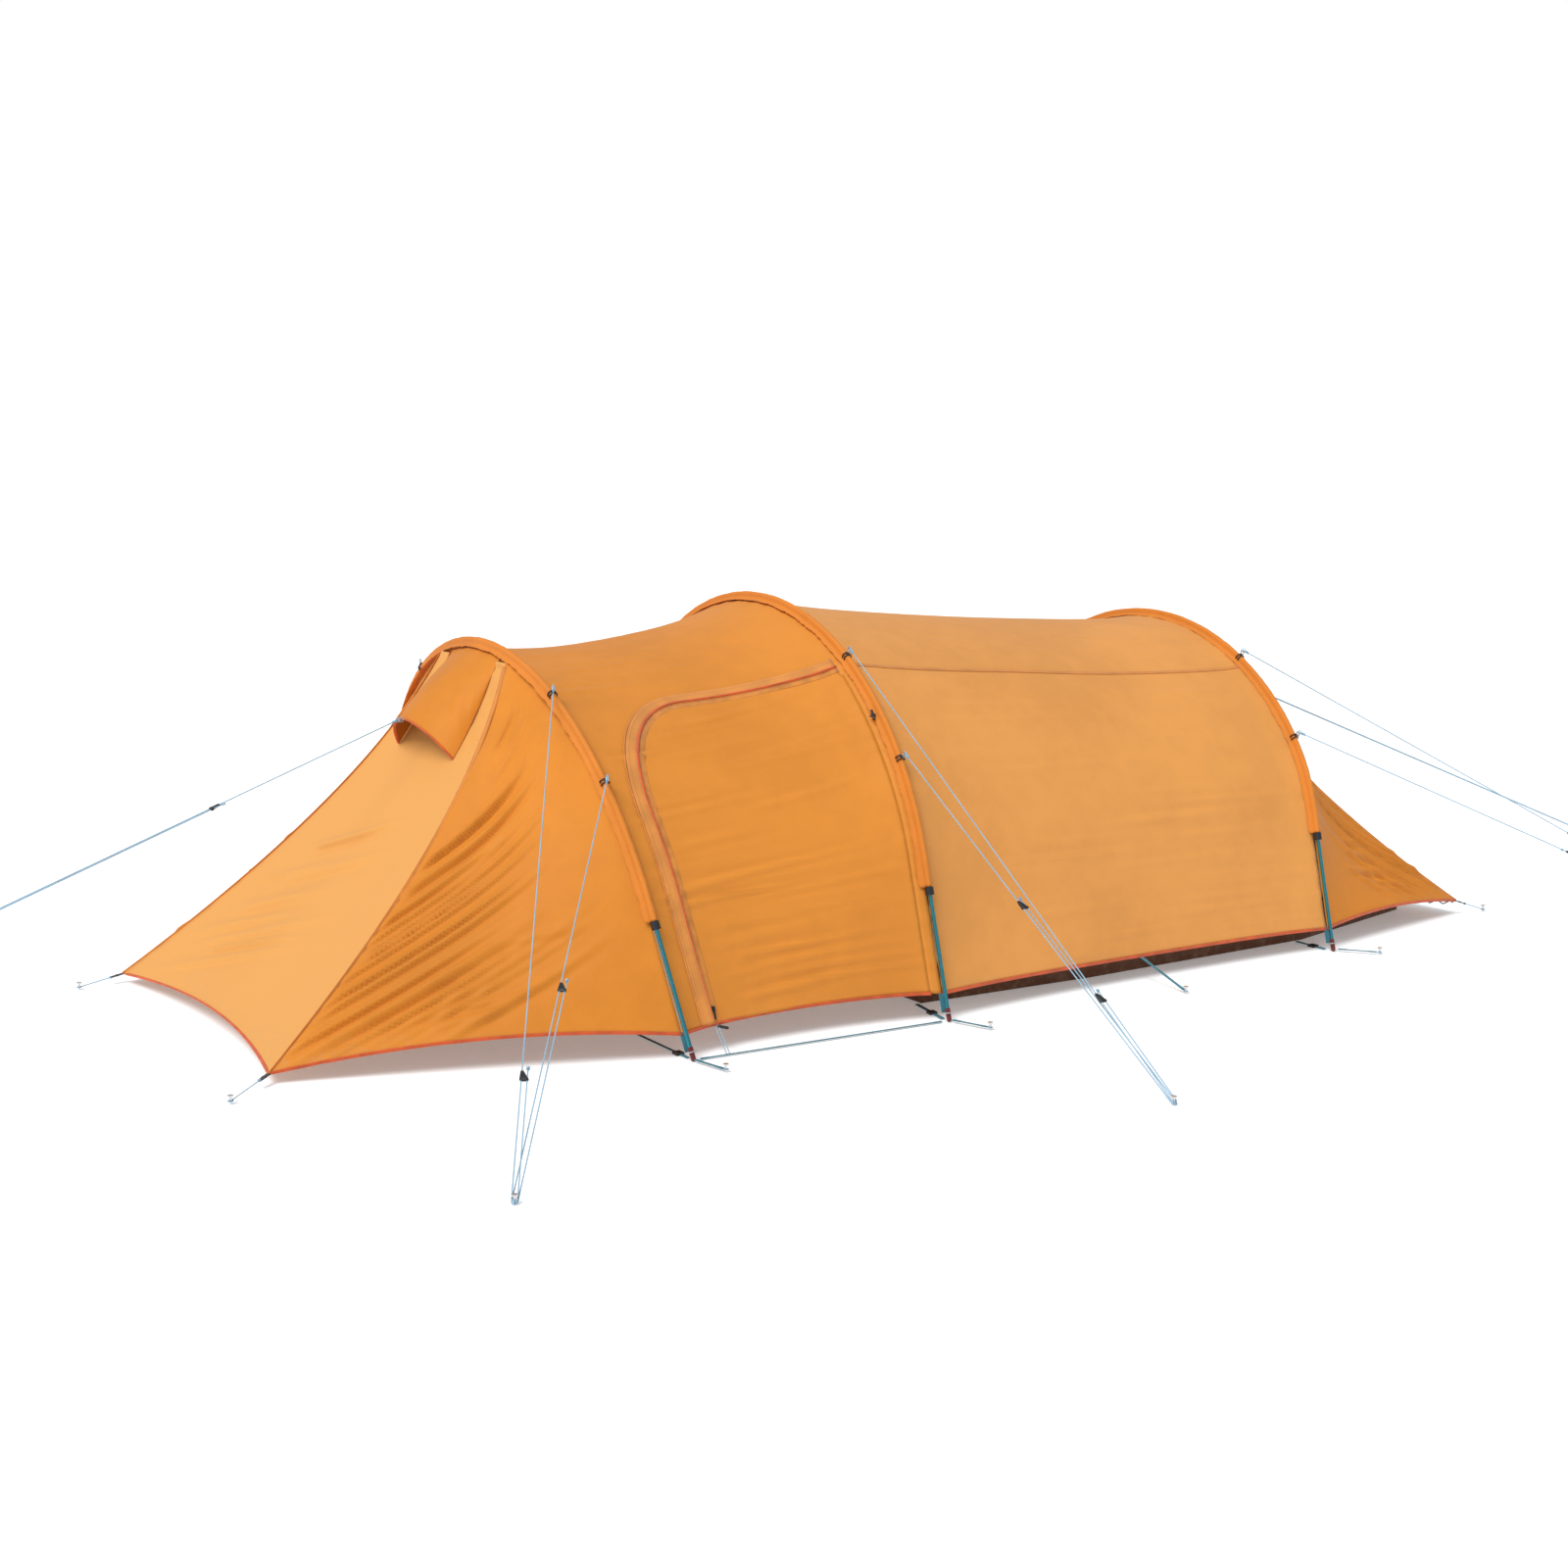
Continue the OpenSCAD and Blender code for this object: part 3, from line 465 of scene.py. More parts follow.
def build(name, parts, material, body="tent", replaces=(), thickness=0.0):
    """One object from one or several parts, with its own UV map in metres, riding on its body."""
    parts = parts if isinstance(parts, list) else [parts]
    offsets = np.cumsum([0] + [len(p.points) for p in parts[:-1]])
    points = np.vstack([p.points for p in parts])
    faces, uvs = [], []
    for part, offset in zip(parts, offsets):
        faces += (part.quads + offset).tolist()
        uvs.append(part.quad_uv.reshape(-1, 2))
        for cap in part.caps:
            faces.append((cap + offset).tolist())
            uvs.append(np.zeros((len(cap), 2)))
    mesh = bpy.data.meshes.new(name)
    mesh.from_pydata(points.tolist(), [], faces)
    layer = mesh.uv_layers.new(name="cut")
    layer.data.foreach_set("uv", np.vstack(uvs).astype(np.float32).ravel())
    mesh.polygons.foreach_set("use_smooth", [True] * len(faces))
    mesh.materials.append(material)
    piece = bpy.data.objects.new(name, mesh)
    bpy.context.scene.collection.objects.link(piece)
    if thickness:
        wall = piece.modifiers.new("wall", "SOLIDIFY")
        wall.thickness = thickness
        wall.offset = -1.0
    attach(piece, body)
    if replaces:
        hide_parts(*replaces)
    return piece


# ---- Shader building ----


class Nodes:
    """Short calls for making shader nodes in one tree."""

    def __init__(self, tree):
        self.tree = tree

    def put(self, kind, inputs=None, **settings):
        node = self.tree.nodes.new(kind)
        for key, value in settings.items():
            setattr(node, key, value)
        for key, value in (inputs or {}).items():
            self.feed(node.inputs[key], value)
        return node

    def feed(self, socket, value):
        if isinstance(value, bpy.types.NodeSocket):
            self.tree.links.new(value, socket)
        elif value is not None:
            socket.default_value = value

    def math(self, operation, a, b=None, clamp=False):
        node = self.put("ShaderNodeMath", operation=operation, use_clamp=clamp)
        self.feed(node.inputs[0], a)
        self.feed(node.inputs[1], b)
        return node.outputs[0]

    def wave(self, kind, length, pitch):
        """A sine or cosine that comes round once in each pitch along a length."""
        return self.math(kind, self.math("MULTIPLY", self.math("DIVIDE", length, pitch), 2 * math.pi))

    def blend(self, factor, a, b):
        node = self.put("ShaderNodeMix", data_type="RGBA")
        self.feed(node.inputs["Factor"], factor)
        self.feed(node.inputs["A"], a)
        self.feed(node.inputs["B"], b)
        return node.outputs["Result"]

    def noise(self, vector, scale, detail=3.0, rough=0.5, stretch=None):
        if stretch is not None:
            vector = self.put("ShaderNodeMapping", {"Vector": vector, "Scale": stretch}).outputs[0]
        return self.put("ShaderNodeTexNoise", {"Vector": vector, "Scale": scale, "Detail": detail,
                                               "Roughness": rough}).outputs["Fac"]

    def ramp(self, value, low, high, to_low=0.0, to_high=1.0):
        node = self.put("ShaderNodeMapRange", {"Value": value, "From Min": low, "From Max": high,
                                               "To Min": to_low, "To Max": to_high})
        node.interpolation_type = "SMOOTHSTEP"
        return node.outputs[0]

    def split(self, vector):
        return self.put("ShaderNodeSeparateXYZ", {"Vector": vector}).outputs

    def group(self, name, **inputs):
        node = self.put("ShaderNodeGroup")
        node.node_tree = bpy.data.node_groups[name]
        for key, value in inputs.items():
            self.feed(node.inputs[key.replace("_", " ")], value)
        return node.outputs


def new_group(name, inputs, outputs):
    """An empty shader group: inputs with their defaults, and outputs that are all plain values."""
    tree = bpy.data.node_groups.new(name, "ShaderNodeTree")
    for title, default in inputs.items():
        kind = "NodeSocketVector" if isinstance(default, tuple) else "NodeSocketFloat"
        socket = tree.interface.new_socket(title, in_out="INPUT", socket_type=kind)
        socket.default_value = default
    for title in outputs:
        tree.interface.new_socket(title, in_out="OUTPUT", socket_type="NodeSocketFloat")
    nodes = Nodes(tree)
    source = nodes.put("NodeGroupInput").outputs
    sink = nodes.put("NodeGroupOutput").inputs
    return nodes, source, sink


def make_ripstop_group():
    """Plain weave with a raised thread every few millimetres both ways."""
    n, source, sink = new_group(
        "ripstop_weave", {"Cut": (0.0, 0.0, 0.0), "Grid": 0.006, "Thread": 0.0009},
        ("Height", "Grid Lines"))
    lines, weave = [], []
    for axis in n.split(source["Cut"])[:2]:
        lines.append(n.ramp(n.wave("COSINE", axis, source["Grid"]), 0.86, 1.0))
        weave.append(n.wave("SINE", axis, source["Thread"]))
    grid = n.math("MAXIMUM", lines[0], lines[1])
    threads = n.math("MULTIPLY", weave[0], weave[1])
    n.feed(sink["Height"], n.math("ADD", n.math("MULTIPLY", grid, 0.7), n.math("MULTIPLY", threads, 0.3)))
    n.feed(sink["Grid Lines"], grid)


def make_mottle_group():
    """Slow and quick colour drift, and fine creases that run mostly one way."""
    n, source, sink = new_group(
        "cloth_mottle", {"Place": (0.0, 0.0, 0.0), "Crease Scale": 9.0, "Stretch": (0.25, 1.0, 1.0)},
        ("Drift", "Creases"))
    slow = n.noise(source["Place"], 1.7, 2.0)
    quick = n.noise(source["Place"], 14.0, 4.0, 0.6)
    n.feed(sink["Drift"], n.math("ADD", n.math("MULTIPLY", slow, 0.7), n.math("MULTIPLY", quick, 0.3)))
    pulled = n.put("ShaderNodeVectorMath", operation="MULTIPLY")
    n.feed(pulled.inputs[0], source["Place"])
    n.feed(pulled.inputs[1], source["Stretch"])
    crease = n.noise(pulled.outputs[0], source["Crease Scale"], 3.0, 0.55)
    n.feed(sink["Creases"], crease)


def make_dust_group():
    """Dust that settles low on the cloth: strong at the ground, gone above a height."""
    n, source, sink = new_group(
        "ground_dust", {"Place": (0.0, 0.0, 0.0), "Reach": 0.12}, ("Mask",))
    height = n.split(source["Place"])[2]
    low = n.math("SUBTRACT", 1.0, n.math("DIVIDE", height, source["Reach"]), clamp=True)
    spots = n.ramp(n.noise(source["Place"], 30.0, 5.0, 0.65), 0.42, 0.72)
    n.feed(sink["Mask"], n.math("MULTIPLY", low, spots))


def make_stitch_group():
    """Two rows of stitches along a seam: short raised dashes with a dent between them."""
    n, source, sink = new_group(
        "stitch_rows", {"Cut": (0.0, 0.0, 0.0), "Pitch": 0.004, "Row": 0.004, "Middle": 0.0},
        ("Mask", "Height"))
    along, across = n.split(source["Cut"])[:2]
    off = n.math("ABSOLUTE", n.math("SUBTRACT", across, source["Middle"]))
    off = n.math("ABSOLUTE", n.math("SUBTRACT", off, source["Row"]))
    line = n.math("SUBTRACT", 1.0, n.ramp(off, 0.0002, 0.0009))
    dash = n.ramp(n.wave("SINE", along, source["Pitch"]), -0.5, 0.1)
    mask = n.math("MULTIPLY", line, dash)
    n.feed(sink["Mask"], mask)
    n.feed(sink["Height"], n.math("SUBTRACT", mask, n.math("MULTIPLY", line, 0.6)))


def make_braid_group():
    """Crossing strands of a braid, from the length along the cord and the place round it."""
    n, source, sink = new_group(
        "braid", {"Cut": (0.0, 0.0, 0.0), "Pitch": 0.006, "Round": 0.011},
        ("Height", "Strand"))
    along, around = n.split(source["Cut"])[:2]
    a = n.math("MULTIPLY", n.math("DIVIDE", along, source["Pitch"]), 2 * math.pi)
    b = n.math("MULTIPLY", n.math("DIVIDE", around, source["Round"]), 4 * math.pi)
    left = n.math("SINE", n.math("ADD", a, b))
    right = n.math("SINE", n.math("SUBTRACT", a, b))
    n.feed(sink["Height"], n.math("MAXIMUM", left, right))
    n.feed(sink["Strand"], n.ramp(left, 0.75, 0.95))


def make_rib_group():
    """Ribs across a woven tape, with weaker ones along it."""
    n, source, sink = new_group(
        "tape_ribs", {"Cut": (0.0, 0.0, 0.0), "Pitch": 0.0018}, ("Height",))
    rib, cross = [n.wave("SINE", axis, source["Pitch"]) for axis in n.split(source["Cut"])[:2]]
    n.feed(sink["Height"], n.math("ADD", rib, n.math("MULTIPLY", cross, 0.4)))


for make_group in (make_ripstop_group, make_mottle_group, make_dust_group, make_stitch_group,
                   make_braid_group, make_rib_group):
    make_group()


def new_material(name, **sockets):
    """A material with a Principled shader whose plain values are set on its own sockets."""
    material = bpy.data.materials.new(name)
    material.use_nodes = True
    n = Nodes(material.node_tree)
    shader = material.node_tree.nodes["Principled BSDF"]
    for key, value in sockets.items():
        shader.inputs[key.replace("_", " ")].default_value = value
    place = n.put("ShaderNodeTexCoord").outputs["Object"]
    cut = n.put("ShaderNodeUVMap", uv_map="cut").outputs["UV"]
    return material, n, shader.inputs, place, cut


def bump(n, height, distance, strength=1.0, under=None):
    """A Bump node's normal, over another normal where one is given."""
    node = n.put("ShaderNodeBump", {"Height": height, "Distance": distance, "Strength": strength})
    if under is not None:
        n.feed(node.inputs["Normal"], under)
    return node.outputs["Normal"]


def shade(colour, factor):
    """A colour made lighter or darker, with an alpha of one."""
    return tuple(min(c * factor, 1.0) for c in colour[:3]) + (1.0,)


def cloth_material(name, colour, rough=0.62, crease=0.0012, stretch=(0.25, 1.0, 1.0), panel=None):
    """Coated ripstop: colour drift, faint grid, creases, dust at the hem; panel gives the places across the cloth
    between which it is painted lighter, as painted light where the panel faces the lamp, and that lighter colour."""
    material, n, shader, place, cut = new_material(
        name, Sheen_Weight=0.07, Sheen_Roughness=0.4, Specular_IOR_Level=0.22)
    weave = n.group("ripstop_weave", Cut=cut)
    mottle = n.group("cloth_mottle", Place=place, Stretch=stretch)
    dust = n.group("ground_dust", Place=place)["Mask"]
    base = n.blend(n.ramp(mottle["Drift"], 0.35, 0.65), shade(colour, 0.93), shade(colour, 1.06))
    if panel is not None:
        across = n.split(cut)[1]
        after, before = n.math("GREATER_THAN", across, panel[0]), n.math("LESS_THAN", across, panel[1])
        between = n.math("MULTIPLY", after, before)
        # painted light: the band between the two places takes the lighter colour that stands for the panel facing the
        # lamp
        base = n.blend(between, base, shade(panel[2], 1.0))
    base = n.blend(n.math("MULTIPLY", weave["Grid Lines"], 0.10), base, shade(colour, 0.72))
    base = n.blend(n.math("MULTIPLY", dust, 0.25), base, (0.42, 0.33, 0.22, 1.0))
    n.feed(shader["Base Color"], base)
    n.feed(shader["Roughness"], n.math("ADD", rough - 0.05, n.math("MULTIPLY", mottle["Drift"], 0.1)))
    normal = bump(n, mottle["Creases"], crease * 8, 0.35)
    n.feed(shader["Normal"], bump(n, weave["Height"], 0.00008, 0.5, normal))
    return material


def tape_material(name, colour, pitch=0.0018):
    """Woven tape or webbing: ribs across it, painted shade in the deep troughs between the ribs, and a little fading.
    """
    material, n, shader, place, cut = new_material(name, Sheen_Weight=0.2, Specular_IOR_Level=0.3)
    ribs = n.group("tape_ribs", Cut=cut, Pitch=pitch)["Height"]
    fade = n.noise(place, 22.0, 4.0)
    base = n.blend(n.ramp(fade, 0.3, 0.7), shade(colour, 0.8), shade(colour, 1.15))
    # painted shade: the colour goes darker towards the bottoms of the rib troughs
    base = n.blend(n.ramp(ribs, -0.4, -1.4, 0.0, 0.35), base, shade(colour, 0.45))
    n.feed(shader["Base Color"], base)
    n.feed(shader["Roughness"], n.ramp(fade, 0.2, 0.8, 0.62, 0.78))
    n.feed(shader["Normal"], bump(n, ribs, 0.0002, 0.6))
    return material


def stitched_material(name, colour, thread, row=0.004):
    """A folded seam with its two rows of stitches, each a row's distance from the middle."""
    material, n, shader, place, cut = new_material(name, Sheen_Weight=0.2, Specular_IOR_Level=0.3)
    stitch = n.group("stitch_rows", Cut=cut, Row=row)
    drift = n.noise(place, 12.0, 4.0)
    base = n.blend(n.ramp(drift, 0.3, 0.7), shade(colour, 0.88), shade(colour, 1.08))
    n.feed(shader["Base Color"], n.blend(stitch["Mask"], base, shade(thread, 1.0)))
    n.feed(shader["Roughness"], n.ramp(drift, 0.2, 0.8, 0.59, 0.71))
    pucker = bump(n, n.noise(cut, 260.0, 2.0, stretch=(1.0, 0.15, 1.0)), 0.0012, 0.5)
    n.feed(shader["Normal"], bump(n, stitch["Height"], 0.0006, 0.8, pucker))
    return material


def braid_material(name, colour, fleck):
    """Braided cord with a reflective strand in it."""
    material, n, shader, place, cut = new_material(name, Sheen_Weight=0.1, Specular_IOR_Level=0.4)
    braid = n.group("braid", Cut=cut)
    fade = n.noise(place, 9.0, 3.0)
    base = n.blend(n.ramp(fade, 0.3, 0.7), shade(colour, 0.85), shade(colour, 1.1))
    n.feed(shader["Base Color"], n.blend(braid["Strand"], base, shade(fleck, 1.0)))
    n.feed(shader["Roughness"], n.ramp(braid["Height"], 0.0, 1.0, 0.7, 0.5))
    n.feed(shader["Normal"], bump(n, braid["Height"], 0.0004, 0.7))
    return material


def metal_material(name, colour, rough):
    """Anodised or bare alloy: drawn grain, fine scratches and a worn, lighter drift."""
    material, n, shader, place, cut = new_material(name, Metallic=1.0)
    wear = n.noise(place, 60.0, 5.0, 0.65)
    lines = n.noise(place, 240.0, 2.0, stretch=(1.0, 1.0, 12.0))
    base = n.blend(n.ramp(wear, 0.55, 0.8), shade(colour, 1.0), shade(colour, 1.5))
    n.feed(shader["Base Color"], base)
    n.feed(shader["Roughness"], n.ramp(lines, 0.3, 0.7, rough - 0.07, rough + 0.09))
    n.feed(shader["Normal"], bump(n, lines, 0.0001, 0.25))
    return material


def plastic_material(name, colour, rough):
    """Moulded plastic: fine spark texture and rubbed patches."""
    material, n, shader, place, cut = new_material(name, Specular_IOR_Level=0.45)
    spark = n.noise(place, 900.0, 2.0)
    rub = n.noise(place, 70.0, 4.0, 0.6)
    n.feed(shader["Base Color"], n.blend(n.ramp(rub, 0.5, 0.8), shade(colour, 1.0), shade(colour, 1.9)))
    n.feed(shader["Roughness"], n.ramp(rub, 0.35, 0.7, rough + 0.06, rough - 0.1))
    n.feed(shader["Normal"], bump(n, spark, 0.00008, 0.5))
    return material


NET_PITCH = 0.0016


def net_material(name, colour):
    """Fine insect net: threads both ways with see-through holes between them."""
    material, n, shader, place, cut = new_material(name, Roughness=0.8, Sheen_Weight=0.2)
    threads = []
    for axis in n.split(cut)[:2]:
        wave = n.math("COSINE", n.math("MULTIPLY", axis, 2 * math.pi / NET_PITCH))
        threads.append(n.ramp(wave, 0.1, 0.5))
    solid = n.math("MAXIMUM", threads[0], threads[1])
    n.feed(shader["Alpha"], n.math("ADD", 0.35, n.math("MULTIPLY", solid, 0.6)))
    n.feed(shader["Base Color"], n.blend(solid, shade(colour, 0.6), shade(colour, 1.2)))
    n.feed(shader["Normal"], bump(n, solid, 0.0002, 0.5))
    return material


# Colours, linear
# painted light: the fly's orange made paler on the main span, standing in for light the pale inner tent sends back
# through the cloth
FLY_MAIN_PAINTED_LIT = (0.67, 0.285, 0.068)
# painted shade: the same fly orange made darker on the porch and its door, standing in for the dark porch behind the
# cloth
FLY_PORCH_PAINTED_SHADE = (0.62, 0.222, 0.028)
# painted shade: the same fly orange made darker on the end sides and the hoods
FLY_SIDE_PAINTED_SHADE = (0.59, 0.200, 0.018)
# painted light: the same fly orange made lighter on the end panels, which face the key light
FLY_PANEL_PAINTED_LIT = (0.68, 0.315, 0.078)
FLY_SLEEVE = (0.61, 0.195, 0.024)
BINDING = (0.60, 0.090, 0.018)
TUB = (0.135, 0.048, 0.020)
INNER = (0.86, 0.70, 0.42)
TEAL = (0.030, 0.175, 0.235)
BLACK = (0.012, 0.012, 0.014)
GUY_BLUE = (0.16, 0.35, 0.49)

fly_painted_lit_finish = cloth_material("fly_ripstop", FLY_MAIN_PAINTED_LIT)
porch_painted_shade_finish = cloth_material("fly_ripstop_porch_painted_shade", FLY_PORCH_PAINTED_SHADE)
hood_painted_shade_finish = cloth_material("fly_ripstop_hood_painted_shade", FLY_SIDE_PAINTED_SHADE, stretch=(1.0, 0.7, 0.35))
sleeve_finish = cloth_material("sleeve_cloth", FLY_SLEEVE, rough=0.68, crease=0.0006, stretch=(1.0, 1.0, 1.0))
tub_finish = cloth_material("tub_cloth", TUB, rough=0.55, crease=0.002, stretch=(0.6, 1.0, 1.0))
inner_finish = cloth_material("inner_cloth", INNER, rough=0.75, crease=0.0015)
net_finish = net_material("vent_net", (0.05, 0.05, 0.055))
binding_finish = tape_material("hem_binding", BINDING, pitch=0.0022)
zip_tape_finish = tape_material("zip_tape", (0.60, 0.215, 0.032), pitch=0.0012)
webbing_finish = tape_material("teal_webbing", TEAL)
shock_finish = braid_material("shock_cord", (0.025, 0.027, 0.03), (0.10, 0.11, 0.12))
guy_finish = braid_material("guy_line", GUY_BLUE, (0.75, 0.78, 0.80))
pole_finish = metal_material("teal_anodised", (0.055, 0.30, 0.37), 0.3)
alloy_finish = metal_material("bare_alloy", (0.62, 0.64, 0.66), 0.34)
tip_finish = plastic_material("dark_red_tip", (0.12, 0.012, 0.012), 0.35)
black_finish = plastic_material("black_plastic", BLACK, 0.42)
seam_finish = stitched_material("felled_seam", (0.60, 0.22, 0.04), (0.30, 0.10, 0.025))
flap_finish = stitched_material("zip_flap", (0.62, 0.23, 0.042), (0.22, 0.09, 0.03), 0.010)

# ---- Guy lines ----

Line = namedtuple("Line", "peg along side length end share")


def ring_point(h, t):
    """The outermost point of a guy ring."""
    return hoop_point(h, t, -(SLEEVE_R + RING_STAND + RING_R))


def hood_ring_point(apex):
    """The outermost point of the ring at a hood's peak."""
    return apex + np.array([math.copysign(HOOD_RING_REACH + RING_R, apex[0]), 0, 0])


def make_line(end, peg_xy, share, loop_z=GUY_PEG_Z):
    """A guy line's frame: the strand leaves the peg's side and runs straight to the ring."""
    peg = np.array([peg_xy[0], peg_xy[1], loop_z])
    side = unit(np.cross([0, 0, 1], end - peg))
    start = peg + side * STRAND_GAP / 2
    return Line(peg, unit(end - start), side, float(np.linalg.norm(end - start)), end, share)


LINES = {
    "front_hood": make_line(hood_ring_point(FRONT_HOOD_APEX), FRONT_HOOD_PEG, 0.74),
    "front_upper": make_line(ring_point(FRONT, UPPER_RING_T["front"]), FRONT_PEG, 0.19),
    "front_lower": make_line(ring_point(FRONT, LOWER_RING_T["front"]), FRONT_PEG, 0.44, LOW_LOOP_Z),
    "middle_upper": make_line(ring_point(MIDDLE, UPPER_RING_T["middle"]), MIDDLE_PEG, 0.19),
    "middle_lower": make_line(ring_point(MIDDLE, LOWER_RING_T["middle"]), MIDDLE_PEG, 0.52, LOW_LOOP_Z),
    "rear_upper": make_line(ring_point(REAR, UPPER_RING_T["rear"]), REAR_PEG, 0.30),
    "rear_lower": make_line(ring_point(REAR, LOWER_RING_T["rear"]), REAR_PEG, 0.36, LOW_LOOP_Z),
    "rear_hood": make_line(hood_ring_point(REAR_HOOD_APEX), REAR_HOOD_PEG, 0.86),
}


def guy_route(line):
    """Down to the peg, a half turn round it, and back up through the tensioner."""
    r = STRAND_GAP / 2
    down = [line.peg + line.side * r + line.along * line.length * k for k in (0.75, 0.5, 0.25)]
    turn = [line.peg + line.side * r * math.cos(a) - line.along * r * math.sin(a)
            for a in np.linspace(0, math.pi, 9)]
    back = line.peg - line.side * r + line.along * (line.length * line.share + TENSIONER_LEN + TAIL_LEN)
    return np.array([line.end - RING_GAP * line.along] + down + turn + [back])


def make_guy(name, line):
    """The line itself, the hitch at its ring and the stopper knot behind its tensioner."""
    route = spaced(guy_route(line), 0.05)
    across = np.cross(line.along, line.side)
    guy = build(name + "_guy_line", rod(route, GUY_D / 2, across, 9), guy_finish,
                replaces=(name + "_guy",))
    top = line.end - line.along * RING_GAP
    hitch = [wraps(top - line.along * 0.016, line.along, 0.0030, 0.0016, 5, 0.0031),
             ring(top + line.along * 0.005, line.side, 0.0062, 0.0016, 20, 7)]
    knot = build(name + "_hitch", hitch, guy_finish)
    tail = route[-1]
    stopper = build(name + "_stopper_knot", [
        wraps(tail - line.along * 0.0065, line.along, 0.0028, 0.0019, 2.6, 0.0030),
        ring(tail - line.along * 0.002, line.side + 0.6 * line.along, 0.0024, 0.0019, 16, 7)],
        guy_finish)


def make_tensioner(name, line):
    """A three-sided slider: wide where both strands enter, narrow towards the ring."""
    base = line.peg + line.along * line.length * line.share
    half = STRAND_GAP / 2
    outline = rounded([(0.0, -half - 0.0055), (TENSIONER_LEN, half - 0.0035),
                       (TENSIONER_LEN, half + 0.0035), (0.0, half + 0.0055)], 0.003)
    body = pillow(outline, 0.008, base, line.along, line.side)
    rib = rod(spaced([base + line.along * 0.002 - line.side * (half + 0.003),
                      base + line.along * 0.002 + line.side * (half + 0.003)], 0.004), 0.0046, line.along)
    build(name + "_slider", [body, rib], black_finish,
          body=name + "_tensioner", replaces=(name + "_tensioner",))


for line_name, guy_line in LINES.items():
    make_guy(line_name, guy_line)
    make_tensioner(line_name, guy_line)

# ---- Fly ----


def main_folds(s, t):
    """Fine folds along the roof, faint ones low on the side, and puckers at the sleeves."""
    side = np.minimum(t, 1 - t)
    roof = folds(s, t, 18, (0.35, 0.65), 0.0022, 0.0040, (-0.1, 0.5), (0.3, 0.9), 11, 0.004)
    low = folds(s, side, 17, (0.035, 0.15), 0.0024, 0.0046, (0.1, 0.75), (0.2, 0.5), 12, 0.006)
    mid = folds(s, side, 10, (0.15, 0.32), 0.004, 0.0045, (0.0, 0.6), (0.3, 0.6), 13, 0.01)
    broad = soft_noise(s * 3, t * 9, 14) * 0.007
    pucker = np.exp(-((0.5 - np.abs(s - 0.5)) / 0.028)) * soft_noise(s * 6, t * 150, 15) * 0.0022
    return (roof + low + mid + broad) * np.minimum(1, 18 * s * (1 - s)) + pucker


def porch_folds(s, t):
    """Level folds on the door, slanting ones on the roof, and puckers at the sleeves."""
    side = np.minimum(t, 1 - t)
    low = folds(s, side - 0.012 * s, 16, (0.035, 0.14), 0.0028, 0.0085, (-0.1, 0.35), (0.45, 1.0), 21, 0.006)
    mid = folds(s, side - 0.020 * s, 13, (0.14, 0.30), 0.0030, 0.0060, (-0.1, 0.5), (0.3, 0.8), 22, 0.012)
    roof = folds(s, t - 0.03 * s, 10, (0.36, 0.62), 0.0035, 0.0050, (-0.1, 0.4), (0.4, 0.9), 23, 0.03)
    broad = soft_noise(s * 3, t * 8, 24) * 0.006
    pucker = np.exp(-((0.5 - np.abs(s - 0.5)) / 0.05)) * soft_noise(s * 5, t * 140, 25) * 0.0022
    return (low + mid + roof + broad) * np.minimum(1, 14 * s * (1 - s)) + pucker


def displaced(p, height):
    """A grid of points moved outwards by a height, along the grid's own normals."""
    n = grid_normals(p)
    out = -inward(p)
    n = n * np.sign((n * out).sum(-1, keepdims=True))
    return p + n * height[..., None]


def make_main_fly():
    """One sheet from hem to hem between the middle and the rear hoop."""
    s = np.linspace(0.002, 0.998, 150)[:, None]
    t = np.linspace(HEM_T, 1 - HEM_T, 300)[None]
    p = displaced(main_span(s, t), main_folds(s + 0 * t, t + 0 * s))
    # painted light: the main span takes the fly orange made paler for the inner tent's light behind it
    cloth = build("main_fly_cloth", grid_part(p), fly_painted_lit_finish, thickness=CLOTH,
                  replaces=("main_roof", "main_side_near", "main_side_far"))


def porch_columns(t):
    """Shares along the porch for each row, with one column always on the zip's line."""
    knee = zip_at(np.minimum(t, ROOF_T))
    before = np.linspace(0.002, 1, PORCH_COLUMNS[0])[None] * knee[:, None]
    after = knee[:, None] + (0.998 - knee[:, None]) * np.linspace(0, 1, PORCH_COLUMNS[1])[None]
    return np.concatenate([before, after[:, 1:]], 1)


def make_porch_fly():
    """One sheet between the front and the middle hoop, with the doorway left out, and the door itself."""
    door_rows = np.linspace(HEM_T, ROOF_T, 110)
    t = np.concatenate([door_rows, np.linspace(ROOF_T, 1 - HEM_T, 190)[1:]])
    s = porch_columns(t)
    t = t[:, None] + 0 * s
    p = displaced(porch(s, t), porch_folds(s, t))
    middle_t = (t[1:, 1:] + t[:-1, :-1]) / 2
    past_zip = np.arange(s.shape[1] - 1) >= PORCH_COLUMNS[0] - 1
    near_hoop = (s[1:, 1:] + s[:-1, :-1]) / 2 > DOOR_EDGE_S
    doorway = (middle_t < ROOF_T) & past_zip[None] & ~near_hoop
    # painted shade: porch and door take the darker orange that stands for the dark porch behind them
    cloth = build("porch_fly_cloth", grid_part(p, ~doorway), porch_painted_shade_finish, thickness=CLOTH,
                  replaces=("porch_roof", "porch_side_near", "porch_side_far"))
    door = build("side_door_cloth", grid_part(p, doorway), porch_painted_shade_finish, body="tent",
                 thickness=CLOTH, replaces=("side_door",))
    return [door]


def vent_edge(v, vent=VENT_V):
    """Panel share at which the vent's side lies, wide at the top and narrower at the mouth."""
    return 0.60 + 0.13 * (1 - np.minimum(v, vent) / vent)


